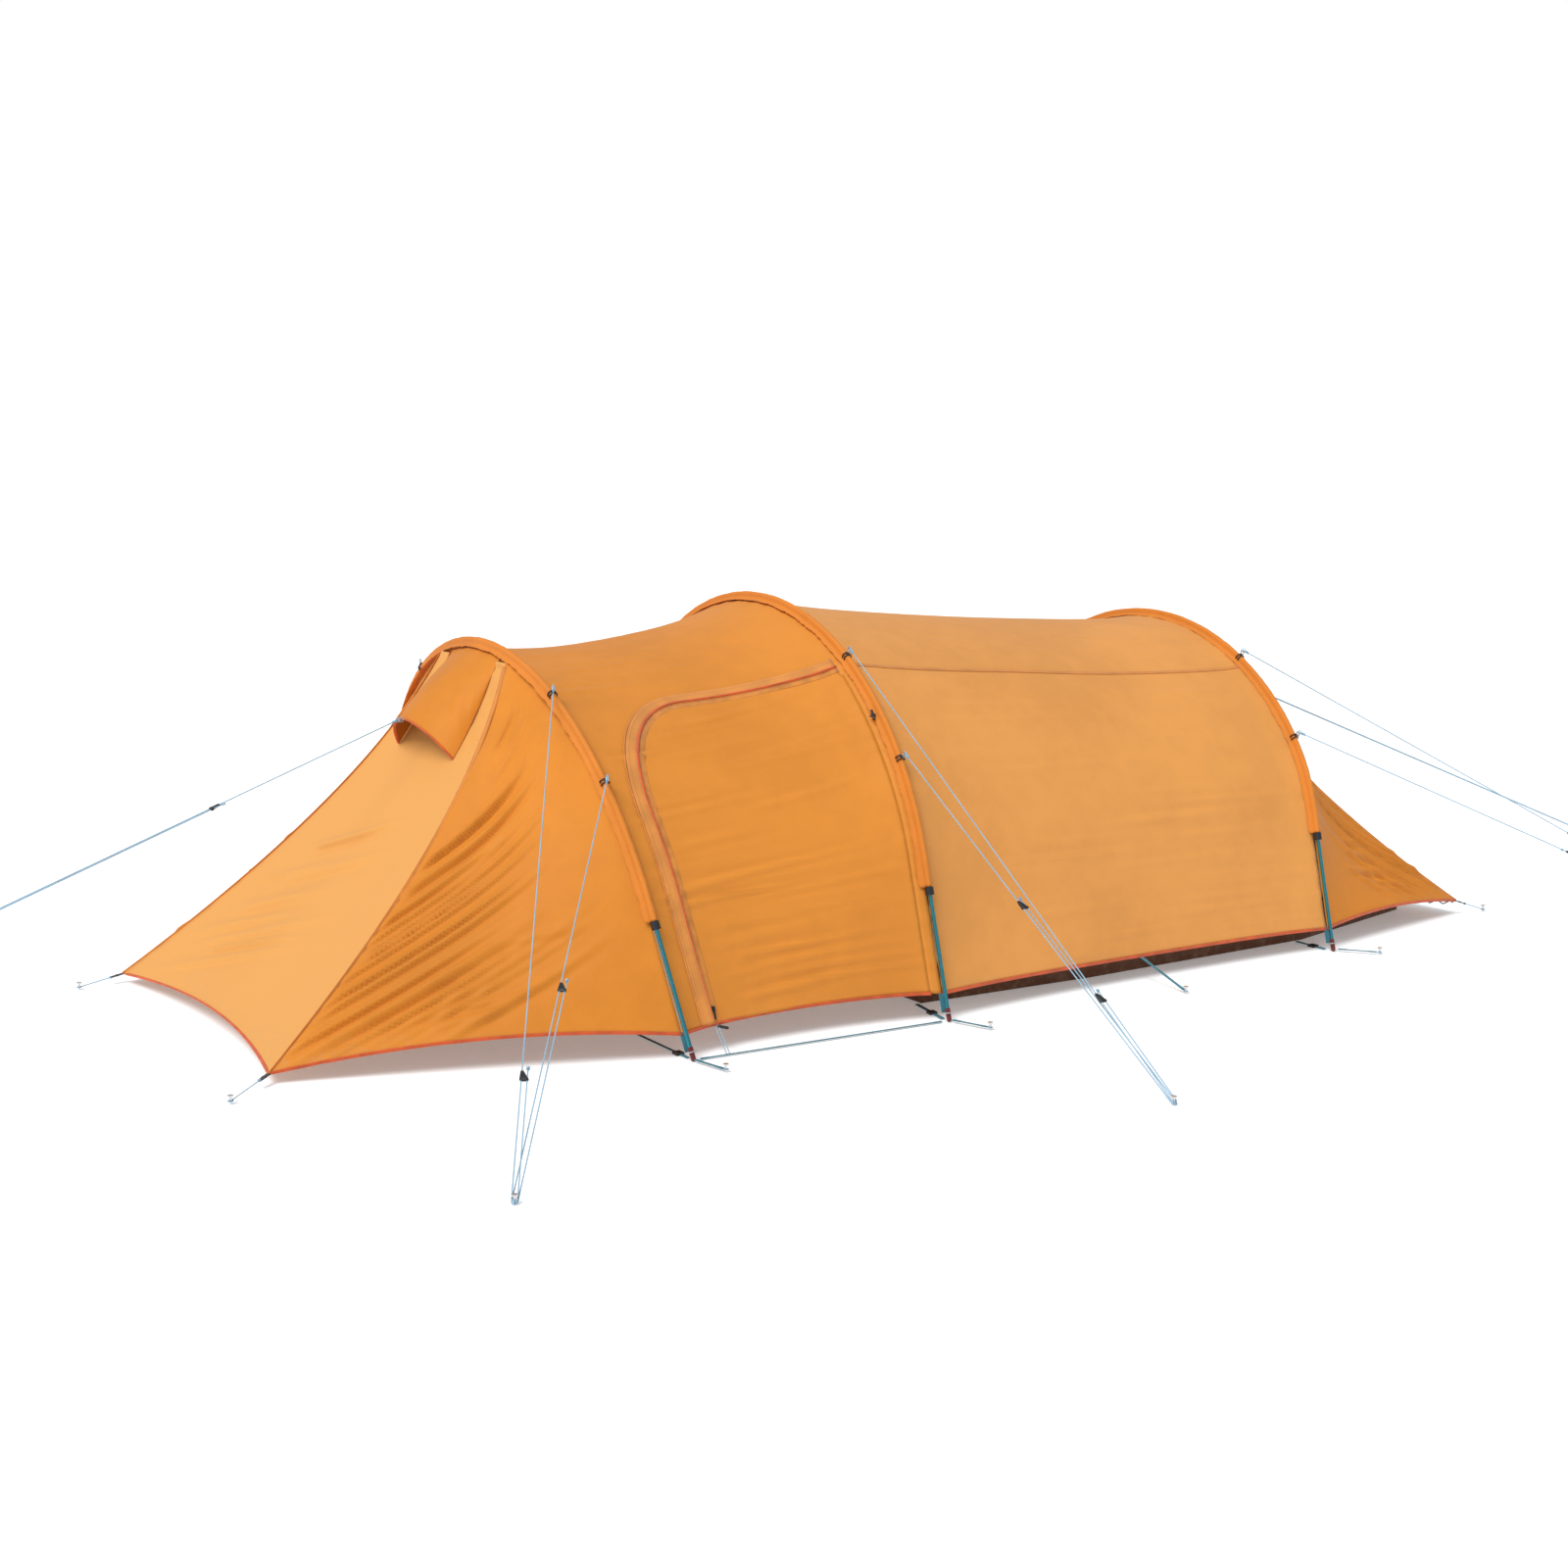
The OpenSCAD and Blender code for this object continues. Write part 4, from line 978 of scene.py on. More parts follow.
def end_columns(v, vent):
    """Panel shares from seam to seam for each row, with two columns on the vent's edges."""
    ear = vent_edge(v, vent)
    left = -1 + (1 - ear)[:, None] * np.linspace(0, 1, EAR_COLUMNS + 1)[None]
    middle = ear[:, None] * np.linspace(-1, 1, VENT_COLUMNS + 1)[None]
    return np.concatenate([left, middle[:, 1:], -left[:, ::-1][:, 1:]], 1)


def end_folds(u, v, panel, seeds):
    """Folds that rise from the seam across a side, or from the far corner across the middle panel."""
    hem_rest = np.minimum(1, 0.08 + 16 * (1 - v))
    if panel:
        slow = soft_noise(u * 2, v * 5, seeds[2]) * 0.004 * hem_rest
        off = (1 - u) / 2
        fine = folds(off, v + 0.30 * off, 9, (0.66, 1.02), 0.011, 0.0150, (0.02, 0.22), (0.4, 0.75),
                     seeds[0], 0.01, 0.15)
        strip = ease(-u, 0.66, 0.8) * ease(-v, -0.42, -0.3) * soft_noise(u * 1.5, v * 46, seeds[1]) * 0.0045
        return (slow + fine * hem_rest) * np.minimum(1, 8 * (1 - u * u)) * np.minimum(1, 6 * v) + strip
    off = 1 - u
    across = v + 0.46 * off
    fan = folds(off, across, 20, (0.56, 1.20), 0.0085, 0.0190, (-0.06, 0.02), (0.42, 1.0), seeds[0], 0.012,
                0.08)
    high = folds(off, across, 9, (0.36, 0.72), 0.009, 0.0080, (0.05, 0.3), (0.3, 0.5), seeds[1], 0.02)
    hem = folds(off, v + 0.10 * off, 6, (0.84, 0.99), 0.009, 0.0090, (0.2, 0.5), (0.3, 0.5), seeds[2], 0.02)
    slow = soft_noise(off * 3, v * 5, seeds[0] + 50) * 0.007
    return (fan + high + hem + slow) * np.minimum(1, 34 * u * (1 - u)) * ease(v, 0.02, 0.16) * hem_rest


def make_end_fly(name, h, seam, pull, lift, seeds, replaces):
    """One sheet for an end: hoop, near side, seam, middle panel, seam, far side, hoop."""
    v = np.concatenate([np.linspace(0.0, VENT_V, 46), np.linspace(VENT_V, 1, 122)[1:]])
    u_side = np.linspace(0.004, 1, SIDE_COLUMNS)[None] + 0 * v[:, None]
    rows = v[:, None] + 0 * u_side
    near = end_side(h, seam, u_side, rows, lift)
    near = displaced(near, end_folds(u_side, rows, False, seeds))
    far = mirrored(end_side(h, seam, u_side, rows, lift))
    far = displaced(far, end_folds(u_side, rows, False, [k + 7 for k in seeds]))
    u_panel = end_columns(v, VENT_V)
    rows = v[:, None] + 0 * u_panel
    panel = end_panel(seam, u_panel, rows, pull)
    lead = np.array([math.copysign(1.0, pull[0]) * -1, 0, 0.35])
    panel = panel + unit(lead) * end_folds(u_panel, rows, True, seeds)[..., None]
    p = np.concatenate([near, panel[:, 1:], far[:, ::-1][:, 1:]], 1)
    first = u_side.shape[1] - 1
    columns = np.arange(p.shape[1] - 1)
    start = first + EAR_COLUMNS
    over_vent = (columns >= start) & (columns < start + VENT_COLUMNS)
    above = (v[1:] + v[:-1]) / 2 < HOLE_V
    keep = ~(above[:, None] & over_vent[None])
    inside = np.array([h.x, 0.0, 0.30])
    across = lengths_along(p, 1)
    # painted light and shade: the end sides take the darker orange as painted shade, and the middle panel the lighter
    # one as painted light
    finish = cloth_material(name + "_ripstop", FLY_SIDE_PAINTED_SHADE, crease=0.0007, stretch=(1.0, 0.8, 1.0),
                            panel=(across[first], across[-1 - first], FLY_PANEL_PAINTED_LIT))
    cloth = build(name, grid_part(p, keep, inside), finish, thickness=CLOTH, replaces=replaces)
    return cloth, p


front_cloth, front_grid = make_end_fly(
    "front_fly_cloth", FRONT, FRONT_SEAM, FRONT_PULL, 0.040, [31, 32, 33],
    ("front_panel", "front_side_near", "front_side_far"))
rear_cloth, rear_grid = make_end_fly(
    "rear_fly_cloth", REAR, REAR_SEAM, REAR_PULL, 0.030, [41, 42, 43],
    ("rear_panel", "rear_side_near", "rear_side_far"))
make_main_fly()
door_pieces = make_porch_fly()


def make_hood(name, h, corner, apex, seam, pull, node, net_node):
    """A hood over an end vent, sewn down to the panel at its sides, its bound edge, and the net behind it."""
    u = np.sin(np.linspace(-1, 1, 91) * math.pi / 2)[None]
    v = np.linspace(-0.03, 1, 48)[:, None]
    p = hood_point(h, corner, apex, u, v)
    row = np.maximum(v, 0) * VENT_V + 0 * u
    sewn = end_panel(seam, np.sign(u) * vent_edge(row), row, pull)
    sewn = sewn - inward(sewn) * 0.002
    edge_now = hood_point(h, corner, apex, np.sign(u), v)
    p = p + (sewn - edge_now) * (np.abs(u) ** 7)[..., None]
    tension = folds(v + 0 * u, u * (0.25 + 0.75 * (1 - v)), 9, (-0.6, 0.6), 0.035, 0.0022, (0.2, 0.5),
                    (0.4, 0.7), 51, 0.1)
    p = displaced(p, tension * np.minimum(1, 5 * (1 - u * u)))
    inside = np.array([h.x, 0.0, 0.5])
    # painted shade: the hood takes the darker end-side orange
    cloth = build(name + "_cloth", grid_part(p, None, inside), hood_painted_shade_finish, thickness=CLOTH,
                  replaces=(node,))
    edge = p[-1]
    build(name + "_edge", sweep(edge, flat_oval(0.009, 0.003), -inward(edge)), binding_finish)
    top = hoop_point(h, 0.5 + 0.06 * u, FLY_INSET + 0.014)
    low = np.stack([corner[0] - np.sign(corner[0]) * 0.022 + 0 * u, -corner[1] * 0.9 * u,
                    corner[2] - 0.004 + 0 * u], -1)
    net = mix(top, low, np.linspace(0.05, 1, 20)[:, None, None])
    build(name + "_net", grid_part(net, None, inside), net_finish, replaces=(net_node,))


make_hood("front_hood", FRONT, FRONT_HOOD_CORNER, FRONT_HOOD_APEX, FRONT_SEAM, FRONT_PULL,
          "front_hood", "front_vent_mesh")
make_hood("rear_hood", REAR, REAR_HOOD_CORNER, REAR_HOOD_APEX, REAR_SEAM, REAR_PULL,
          "rear_hood", "rear_vent_mesh")

# ---- Hems, seams and the zip ----

HEM_BAND = flat_oval(0.010, 0.0034)


def hem_band(name, path, body="tent"):
    """Red binding folded over a hem."""
    return build(name, sweep(path, HEM_BAND, -inward(path)), binding_finish, body=body)


def seam_band(name, path, width=0.014, material=None, body="tent", lift=0.0016):
    """A folded seam that stands a little proud of the cloth, with its middle at UV 0."""
    out = -inward(path)
    part = sweep(path + out * lift, flat_oval(width, 0.0022, 16), out)
    around = part.quad_uv[..., 1]
    round_length = around.max()
    part.quad_uv[..., 1] = np.where(around > round_length / 2, 0.5, around - round_length / 4)
    return build(name, part, material or seam_finish, body=body)


def make_hems():
    """Binding along every free lower edge of the fly."""
    s = np.linspace(0.002, 0.998, 120)
    for side, share in (("near", HEM_T), ("far", 1 - HEM_T)):
        hem_band("main_hem_" + side, displaced(main_span(s[:, None], np.array([[share, share + 1e-3]])),
                                               main_folds(s[:, None] + np.zeros(2),
                                                          share + np.zeros((120, 2))))[:, 0])
    far = porch(s, 1 - HEM_T)
    hem_band("porch_hem_far", far)
    short = np.linspace(0.002, ZIP_S, 20)
    hem_band("porch_hem_near", porch(short, HEM_T))
    hem_band("front_hem", front_grid[-1])
    hem_band("rear_hem", rear_grid[-1])
    door = hem_band("door_hem", porch(np.linspace(ZIP_S, DOOR_EDGE_S, 90), HEM_T), body="tent")
    return [door]


def make_seams():
    """Folded seams along the roof edges and down the two ends."""
    s = np.linspace(0.01, 0.99, 90)
    for side, share in (("near", ROOF_T), ("far", 1 - ROOF_T)):
        path = displaced(main_span(s[:, None], np.array([[share, share + 1e-3]])),
                         main_folds(s[:, None] + np.zeros(2), share + np.zeros((90, 2))))[:, 0]
        seam_band("main_roof_seam_" + side, path, 0.012)
    seam_band("porch_roof_seam_far", porch(s, 1 - ROOF_T), 0.012)
    first = SIDE_COLUMNS - 1
    for name, grid in (("front", front_grid), ("rear", rear_grid)):
        seam_band(name + "_seam_near", grid[2:, first], 0.012)
        seam_band(name + "_seam_far", grid[2:, -1 - first], 0.012)


def zip_line(offset):
    """The zip's line moved sideways by a share of the porch: up, round the corner and along the roof edge."""
    up = np.linspace(HEM_T + 0.001, ZIP_CORNER_T, 60)
    turn = np.linspace(0, math.pi / 2, 34)[1:]
    over = np.linspace(ZIP_CORNER_S, DOOR_EDGE_S, 40)[1:]
    wide, tall = ZIP_CORNER_S - ZIP_S + offset, ROOF_T - ZIP_CORNER_T + offset * 0.24
    s = np.concatenate([0 * up + ZIP_S - offset, ZIP_CORNER_S - wide * np.cos(turn), over])
    t = np.concatenate([up, ZIP_CORNER_T + tall * np.sin(turn), 0 * over + ROOF_T + offset * 0.24])
    return displaced(porch(s[:, None] + np.array([[0, 1e-3]]), t[:, None] + np.array([[0, 0.0]])) + 0,
                     np.zeros((len(s), 2)))[:, 0], s, t


def evened(height, reach=4):
    """A row of heights, each one the mean of those within reach on both sides, so a sewn edge runs smooth."""
    padded = np.pad(height, reach, mode="edge")
    return np.convolve(padded, np.ones(2 * reach + 1) / (2 * reach + 1), "valid")


def make_zip():
    """Tape of the zip on the doorway, and its flap with a bound edge and a row of stitching."""
    line, s, t = zip_line(0.0)
    line = line + 0.0
    height = porch_folds(s, t)[:, None]
    out = -inward(line)
    line = line + out * height
    build("zip_tape", sweep(line + out * 0.0008, flat_oval(0.026, 0.0014, 14), out), zip_tape_finish,
          replaces=("door_zip",))
    flap_line, fs, ft = zip_line(0.030)
    flap_line = flap_line - inward(flap_line) * (evened(porch_folds(fs, ft))[:, None] + 0.004)
    seam_band("zip_flap", flap_line, 0.040, flap_finish, lift=0.0)
    edge_line, es, et = zip_line(0.0115)
    edge_line = edge_line - inward(edge_line) * (evened(porch_folds(es, et))[:, None] + 0.0045)
    build("zip_flap_piping", rod(edge_line, 0.0038, -inward(edge_line), 8), binding_finish)
    outer_line, os_, ot = zip_line(0.056)
    outer_line = outer_line - inward(outer_line) * (porch_folds(os_, ot)[:, None] + 0.0035)
    build("zip_flap_stitching", sweep(outer_line, flat_oval(0.004, 0.002, 10), -inward(outer_line)),
          seam_finish)


door_pieces += make_hems()
make_seams()
make_zip()

# ---- Sleeves, poles and their fittings ----

# Half of the sleeve's section: the flange on the fly, up to the crown over the pole
SLEEVE_HALF = [(0.024, -0.0170), (0.018, -0.0150), (0.0105, -0.0095), (0.0092, -0.0020), (0.0086, 0.0040),
               (0.0052, 0.0086), (0.0, 0.0102)]


def sleeve_section():
    """Closed outline of the sleeve, anticlockwise from its right flange."""
    right = np.array(SLEEVE_HALF)
    left = right[::-1][1:] * np.array([-1, 1])
    under = np.array([(-0.012, -0.0185), (0.012, -0.0185)])
    corners = np.vstack([right, left, under])
    for _ in range(2):
        after = np.roll(corners, -1, 0)
        corners = np.stack([mix(corners, after, 0.25), mix(corners, after, 0.75)], 1).reshape(-1, 2)
    return corners


def make_sleeve(name, h, seed):
    """The pole sleeve: one section carried over the hoop, with small puckers along it."""
    share = BARE_LEG / (2 * half_length(h))
    t = np.linspace(share, 1 - share, 380)
    path = hoop_point(h, t)
    section = sleeve_section()
    along = (t * 2 * half_length(h))[:, None]
    around = np.arange(len(section))[None] / len(section) * 6.28
    pucker = 1 + 0.07 * soft_noise(along * 34 + 0 * around, np.sin(around) * 1.5 + 3 + 0 * along, seed)
    pucker = pucker + 0.05 * soft_noise(along * 90 + 0 * around, np.cos(around) * 2 + 9 + 0 * along, seed + 1)
    profile = section[None] * pucker[..., None]
    build(name + "_sleeve_cloth", sweep(path, profile, hoop_outward(h, t)), sleeve_finish,
          replaces=(name + "_sleeve",))


for hoop_name, seed_number in (("front", 61), ("middle", 63), ("rear", 65)):
    make_sleeve(hoop_name, HOOPS[hoop_name], seed_number)


def repaint(node, material):
    """A CAD node keeps its shape and takes a new finish."""
    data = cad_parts[node].data
    data.materials.clear()
    data.materials.append(material)


CAD_FINISHES = {
    "front_pole": pole_finish, "middle_pole": pole_finish, "rear_pole": pole_finish,
    "pole_tips": tip_finish, "sleeve_collars": black_finish, "foot_eyelets": alloy_finish,
    "strap_buckles": black_finish, "guy_rings": alloy_finish, "inner_hangers": black_finish,
    "zip_slider": black_finish, "door_toggle": black_finish, "ground_pegs": alloy_finish,
    "guy_pegs": alloy_finish,
}
for cad_node, finish in CAD_FINISHES.items():
    repaint(cad_node, finish)

# ---- Straps, bands and loops ----

STRAP_Z = 0.004
PEG_LOOP_Z = 0.008


def webbing(start, end, width, thick=0.0018, up=(0, 0, 1), dip=0.0):
    """A flat strap between two points, which hangs in a shallow parabola and thickens where its ends are sewn back."""
    start, end = np.asarray(start, float), np.asarray(end, float)
    k = np.linspace(0, 1, 48)[:, None]
    path = mix(start, end, k) - np.array([0, 0, dip]) * 4 * k * (1 - k)
    length = np.linalg.norm(end - start)
    doubled = 1 + 0.7 * (ease(0.03 - k * length, 0, 0.004) + ease(k * length - length + 0.03, 0, 0.004))
    profile = flat_oval(width, thick, 16)[None] * np.concatenate([1 + 0 * doubled, doubled], 1)[:, None]
    return sweep(path, profile, up)


def peg_loop(peg_xy, wire=0.0016):
    """A loop of cord that drops over a peg."""
    return ring((peg_xy[0], peg_xy[1], PEG_LOOP_Z), (0, 0, 1), 0.0068, wire, 20, 7)


def toward(start, end, distance):
    """The point at a distance from one point on the way to another."""
    start, end = np.asarray(start, float), np.asarray(end, float)
    return start + unit(end - start) * distance


def make_straps():
    """Foot straps, peg straps, ground straps, corner cords and the groundsheet's elastics, on both sides."""
    feet, pegs, cords, stubs, ground, elastic = [], [], [], [], [], []
    for side, side_pegs in ((-1, NEAR_PEGS), (1, FAR_PEGS)):
        for h, peg_xy in ((FRONT, side_pegs[1]), (MIDDLE, side_pegs[2]), (REAR, side_pegs[4])):
            share = np.linspace(0.031, 0.088, 12) / (2 * half_length(h))
            share = share if side < 0 else 1 - share
            feet.append(sweep(hoop_point(h, share, FLY_INSET + 0.003), flat_oval(0.020, 0.0018, 16),
                              hoop_outward(h, share)))
            foot = (h.x + 0.004 * np.sign(h.lean), side * (h.half_w - 0.009), PEG_LOOP_Z)
            end = (peg_xy[0], peg_xy[1], PEG_LOOP_Z)
            pegs.append(webbing(toward(foot, end, 0.019), toward(end, foot, 0.009), 0.012))
            cords.append(peg_loop(peg_xy))
        hem = main_span(0.5, HEM_T).reshape(3) * np.array([1, -side, 1])
        end = (side_pegs[3][0], side_pegs[3][1], PEG_LOOP_Z)
        pegs.append(webbing(hem + np.array([0, side * 0.004, -0.004]), toward(end, hem, 0.009), 0.012))
        cords.append(peg_loop(side_pegs[3]))
        for corner, peg_xy in (((-2.196, side * 0.683, 0.028), side_pegs[0]),
                               ((2.217, side * 0.829, 0.048), side_pegs[5])):
            end = (peg_xy[0], peg_xy[1], PEG_LOOP_Z)
            knot = toward(corner, end, 0.038)
            stubs.append(webbing(toward(corner, end, -0.010), knot, 0.013, 0.0024))
            strand = spaced([toward(knot, end, -0.006), toward(end, knot, 0.0068)], 0.01)
            cords.append(rod(strand, 0.0017))
            cords.append(peg_loop(peg_xy))
            cords.append(ring(knot, unit(np.array(end) - knot), 0.0035, 0.0017, 18, 7))
        f, m, r = (side * h.half_w for h in (FRONT, MIDDLE, REAR))
        ground.append(webbing((FRONT.x + 0.024, f - side * 0.006, STRAP_Z),
                              (MIDDLE.x - 0.024, m - side * 0.008, STRAP_Z), 0.010))
        ground.append(webbing((MIDDLE.x, m - side * 0.034, STRAP_Z), (-0.226, side * 0.895, STRAP_Z), 0.014))
        ground.append(webbing((REAR.x - 0.006, r - side * 0.034, STRAP_Z), (1.384, side * 0.868, STRAP_Z),
                              0.014))
        a, b = np.array([2.213, side * 0.816, 0.040]), np.array([2.100, side * 0.668, 0.040])
        k = np.linspace(0, 1, 60)[:, None]
        wave = np.array([0, 0, 1]) * np.arcsin(np.sin(k * 2 * math.pi * 4)) * 0.0042
        elastic.append(rod(mix(a, b, k) + wave, 0.0022))
    ground.append(webbing((FRONT.x, 0.034 - FRONT.half_w, STRAP_Z),
                          (FRONT.x, FRONT.half_w - 0.034, STRAP_Z), 0.010))
    build("foot_strap_webbing", feet, webbing_finish, replaces=("foot_straps",))
    build("peg_strap_webbing", pegs, webbing_finish, replaces=("peg_straps",))
    build("corner_strap_stubs", stubs, shock_finish)
    build("corner_cords", cords, guy_finish)
    build("ground_strap_webbing", ground, webbing_finish, replaces=("ground_straps",))
    build("groundsheet_elastics", elastic, shock_finish)


def make_ring_bands():
    """Two black bands round the sleeve at each guy ring, and a tab out to the ring."""
    bands = []
    for name, h in HOOPS.items():
        for t in (UPPER_RING_T[name], LOWER_RING_T[name]):
            for share in (t, 1 - t):
                centre, out = hoop_point(h, share), hoop_outward(h, share)
                tangent = unit(hoop_point(h, share + 1e-3) - hoop_point(h, share - 1e-3))
                for offset in (-0.0055, 0.0055):
                    bands.append(ring(centre + tangent * offset + out * 0.0005, tangent, 0.0125, 0.0021, 24,
                                      8))
                bands.append(sweep(spaced([centre + out * 0.011, centre + out * 0.0165], 0.002),
                                   flat_oval(0.011, 0.006, 14), tangent))
    build("guy_ring_bands", bands, black_finish)


def make_zip_end():
    """A thin loop from the foot of the zip down to the ground strap, and the little bar it hooks over."""
    foot = porch(ZIP_S, HEM_T).reshape(3)
    share = (foot[0] - FRONT.x) / (MIDDLE.x - FRONT.x)
    strap = np.array([foot[0], -mix(FRONT.half_w, MIDDLE.half_w, share) + 0.007, STRAP_Z])
    strands = [rod(spaced([foot + np.array([x, 0, -0.002]), strap + np.array([x, 0, 0])], 0.01), 0.0013,
                   (1, 0, 0))
               for x in (-0.005, 0.005)]
    build("zip_end_loop", strands, guy_finish)
    bar = [foot + np.array([0.004, -0.004, -0.006]), foot + np.array([0.036, -0.004, -0.016])]
    build("zip_end_bar", rod(spaced(bar, 0.004), 0.0042), black_finish)


def make_toggle_loop():
    """The elastic loop that holds the toggle to the middle sleeve."""
    base = hoop_point(MIDDLE, 0.27, FLY_INSET) + np.array([-0.026, 0, 0])
    out = -inward(base)
    along = unit(np.cross(out, [1, 0, 0]))
    build("toggle_loop", [ring(base + out * 0.006, along, 0.0085, 0.0014, 24, 7),
                          rod(spaced([base + out * 0.004 + np.array([0.022, 0, 0]), base + out * 0.004],
                                     0.003),
                              0.0022, out)], shock_finish)


make_straps()
make_ring_bands()
make_toggle_loop()
make_zip_end()

# ---- Groundsheet and inner tent ----

TUB_H = 0.120
TUB_CORNERS = np.array([
    (-0.205, -0.885), (0.450, -0.897), (1.430, -0.850), (2.095, -0.662), (2.050, 0.0),
    (2.095, 0.662), (1.430, 0.850), (0.450, 0.897), (-0.205, 0.885)])


def make_tub():
    """The groundsheet's floor and its turned-up wall, whose top edge dips between its ties."""
    ring_xy = spaced(np.vstack([TUB_CORNERS, TUB_CORNERS[:1]]), 0.012)[:-1]
    k = np.arange(len(ring_xy)) / len(ring_xy)
    centre = np.array([0.95, 0.0])
    levels = np.linspace(0, 1, 14)
    sway = soft_noise(k * 60, 0 * k, 71)[None] * 0.006 * levels[:, None]
    dip = soft_noise(k * 24, 0 * k + 3, 72) * 0.010 - 0.008
    xy = ring_xy[None] + unit(centre - ring_xy)[None] * (0.004 + 0.012 * levels[:, None,
                                                                                None] ** 2 + sway[..., None])
    z = levels[:, None] * (TUB_H + dip[None]) + 0.0012
    wall = np.concatenate([xy, z[..., None]], -1)
    wall = np.concatenate([wall, wall[:, :1]], 1)
    shrink = np.linspace(1, 0.0003, 40)[:, None, None]
    floor_xy = centre + (wall[:1, :, :2] - centre) * shrink
    ripple = soft_noise(floor_xy[..., 0] * 9, floor_xy[..., 1] * 9, 73) * 0.0010
    floor = np.concatenate([floor_xy, (0.0024 + np.abs(ripple))[..., None]], -1)
    floor[:1] = wall[:1]
    p = np.concatenate([floor[::-1][:-1], wall], 0)
    cloth = build("groundsheet_cloth", grid_part(p, None, np.array([0.95, 0, 0.3])), tub_finish,
                  thickness=CLOTH, replaces=("groundsheet",))


def inner_wall(s, t):
    """The inner tent's cloth, drawn in low down to meet the groundsheet."""
    p = span_cloth(MIDDLE, REAR, s, t, MAIN_SAG, INNER_INSET)
    p[..., 1] *= 1 - 0.175 * np.maximum(0, 1 - p[..., 2] / 0.5) ** 2
    return p


INNER_T = 0.038


def make_inner():
    """Roof and sides in one sheet, the rear wall, the front wall with its doorway, and the inner door."""
    s = np.linspace(0.045, 0.99, 90)[:, None]
    t = np.linspace(INNER_T, 1 - INNER_T, 220)[None]
    p = inner_wall(s, t)
    p = displaced(p, soft_noise(s * 5 + 0 * t, t * 12 + 0 * s, 81) * 0.006
                  + folds(s + 0 * t, t + 0 * s, 24, (0.05, 0.95), 0.003, 0.003, (-0.1, 0.6), (0.3, 0.8), 82,
                          0.01))
    cloth = build("inner_tent_cloth", grid_part(p), inner_finish, thickness=CLOTH,
                  replaces=("inner_roof", "inner_side_near", "inner_side_far"))
    t = np.linspace(INNER_T, 1 - INNER_T, 150)
    a = inner_wall(0.995, t)
    k = ((t - INNER_T) / (1 - 2 * INNER_T) * 2 - 1)[:, None]
    b = np.concatenate([mix(2.050, 2.095, k * k) - 0.012, 0.650 * k, 0 * k + TUB_H + 0.004], 1)
    c = mix(a, b, np.array([0.22, 0.36, 0.5]))
    v = np.linspace(0.01, 1, 60)[:, None, None]
    p = (1 - v) ** 2 * a + 2 * v * (1 - v) * c + v * v * b
    rear = build("inner_rear_cloth", grid_part(p, None, np.array([1.2, 0, 0.3])), inner_finish,
                 thickness=CLOTH, replaces=("inner_rear_wall",))
    make_inner_front()


WALL_X = MIDDLE.x + 0.062
DOOR_HALF = 0.380
DOOR_LOW = 0.190
DOOR_SPRING = 0.520
WALL_CENTRE = np.array([0.0, 0.500])


def outline_radius(outline, angle):
    """Distance from the wall's centre to an outline, at each angle round the centre."""
    off = outline - WALL_CENTRE
    turn = np.arctan2(off[:, 1], off[:, 0])
    return np.interp(angle, turn, np.hypot(off[:, 0], off[:, 1]), period=2 * math.pi)


def wall_part(low, high, steps, flutter):
    """Rings between two radii round the wall's centre; the cloth moves in and out by soft noise."""
    angle = np.linspace(0, 2 * math.pi, 241)
    k = np.linspace(0, 1, steps)[:, None]
    radius = mix(low(angle), high(angle), k)
    y = WALL_CENTRE[0] + radius * np.cos(angle)
    z = WALL_CENTRE[1] + radius * np.sin(angle)
    x = WALL_X + 0.0005 + soft_noise(y * 7 + 9, z * 9 + 5, 91) * flutter * 4 * k * (1 - k)
    return grid_part(np.stack([x, y, z], -1), None, np.array([WALL_X + 1.0, 0.0, 0.5]))


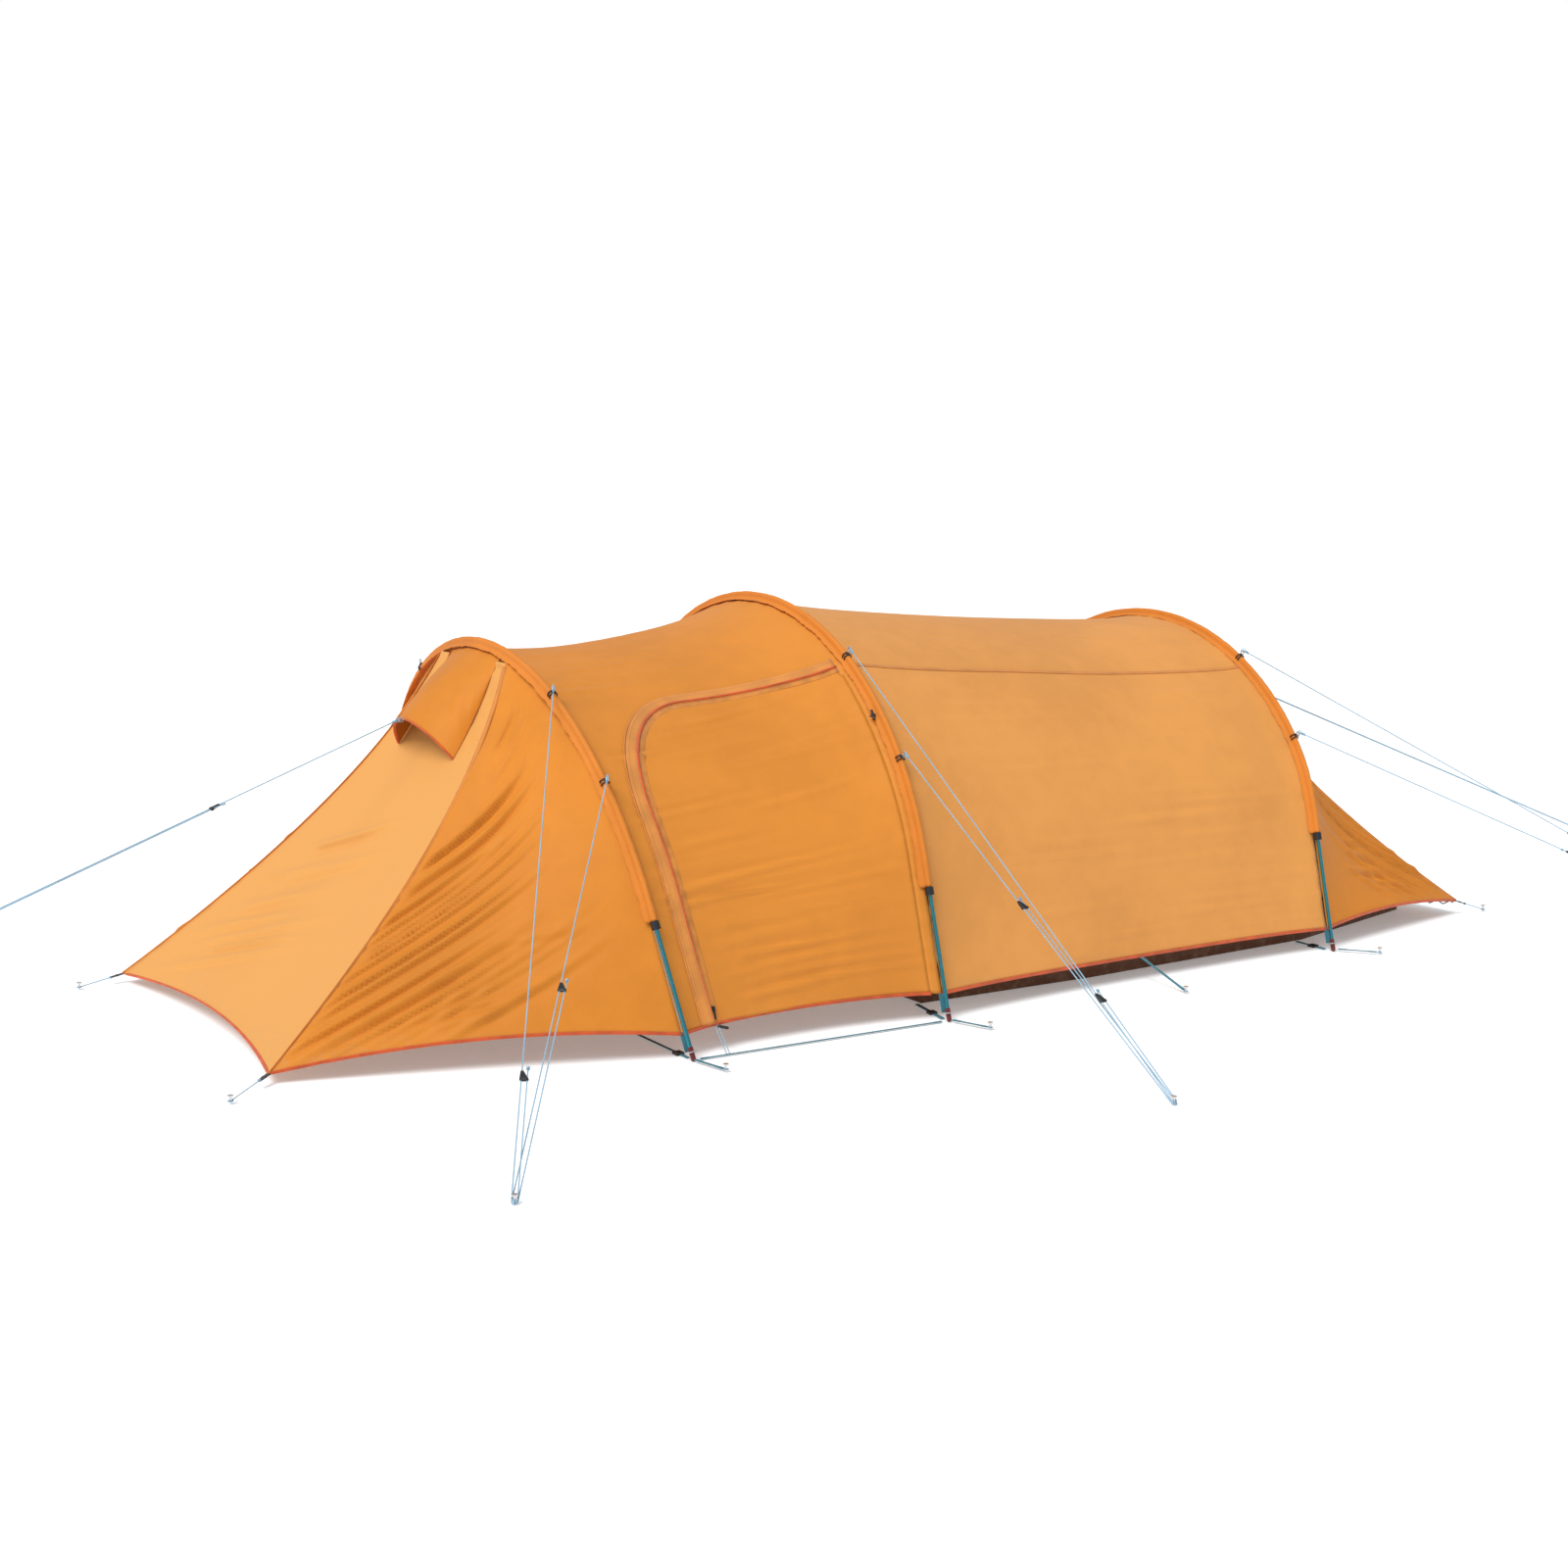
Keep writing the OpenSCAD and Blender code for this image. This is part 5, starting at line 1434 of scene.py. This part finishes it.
def make_inner_front():
    """The front wall with its round-topped doorway, and the door in it."""
    t = np.linspace(INNER_T, 1 - INNER_T, 200)
    top = inner_wall(0.04, t)[:, 1:]
    bottom = mix(top[-1], top[0], np.linspace(0, 1, 60)[1:-1, None])
    wall = np.concatenate([top, bottom])
    arch = np.linspace(0, math.pi, 90)
    arch = np.stack([DOOR_HALF * np.cos(arch), DOOR_SPRING + DOOR_HALF * np.sin(arch)], -1)
    corners = [(DOOR_HALF, DOOR_LOW), (DOOR_HALF, DOOR_SPRING)]
    left = [(-DOOR_HALF, DOOR_SPRING), (-DOOR_HALF, DOOR_LOW), (DOOR_HALF, DOOR_LOW)]
    doorway = np.concatenate([spaced(corners, 0.01)[:-1], arch, spaced(left, 0.01)[1:-1]])
    wide = lambda angle: outline_radius(doorway, angle) + 0.003
    snug = lambda angle: outline_radius(doorway, angle) - 0.001
    cloth = build("inner_front_cloth", wall_part(wide, lambda a: outline_radius(wall, a), 24, 0.006),
                  inner_finish, thickness=CLOTH, replaces=("inner_front_wall",))
    door = build("inner_door_cloth", wall_part(lambda a: 0.0002 + 0 * a, snug, 30, 0.008), inner_finish,
                 body="inner_door", thickness=CLOTH, replaces=("inner_door",))


make_tub()
make_inner()

# ---- The door pieces get meshes of their own ----

for door_piece in door_pieces:
    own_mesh(door_piece)

# ---- Studio ----


def make_studio():
    """A pale floor, a soft white surround and broad soft lights."""
    material, n, shader, place, cut = new_material("studio_floor", Roughness=0.9, Specular_IOR_Level=0.1)
    shader["Base Color"].default_value = (0.86, 0.87, 0.88, 1.0)
    shader["Emission Color"].default_value = (1.0, 1.0, 1.0, 1.0)
    shader["Emission Strength"].default_value = 0.24
    mesh = bpy.data.meshes.new("studio_floor")
    size, level = 60.0, -0.001
    mesh.from_pydata([(-size, -size, level), (size, -size, level), (size, size, level),
                      (-size, size, level)], [],
                     [(0, 1, 2, 3)])
    mesh.materials.append(material)
    floor = bpy.data.objects.new("studio_floor", mesh)
    bpy.context.scene.collection.objects.link(floor)
    world = bpy.data.worlds.new("studio_world")
    bpy.context.scene.world = world
    world.use_nodes = True
    n = Nodes(world.node_tree)
    surround = world.node_tree.nodes["Background"]
    surround.inputs["Color"].default_value = (0.93, 0.96, 1.0, 1.0)
    surround.inputs["Strength"].default_value = 0.52
    backdrop = n.put("ShaderNodeBackground", {"Color": (1.0, 1.0, 1.0, 1.0), "Strength": 1.0})
    seen = n.put("ShaderNodeLightPath").outputs["Is Camera Ray"]
    both = n.put("ShaderNodeMixShader", {0: seen, 1: surround.outputs[0], 2: backdrop.outputs[0]})
    n.feed(world.node_tree.nodes["World Output"].inputs["Surface"], both.outputs[0])
    data = bpy.data.lights.new("soft_key", "SUN")
    data.energy = 2.75
    data.angle = math.radians(34)
    light = bpy.data.objects.new("soft_key", data)
    light.rotation_euler = Vector((-0.60, -0.27, 0.85)).to_track_quat("Z", "Y").to_euler()
    bpy.context.scene.collection.objects.link(light)
    bpy.context.scene.view_settings.view_transform = "Standard"


make_studio()
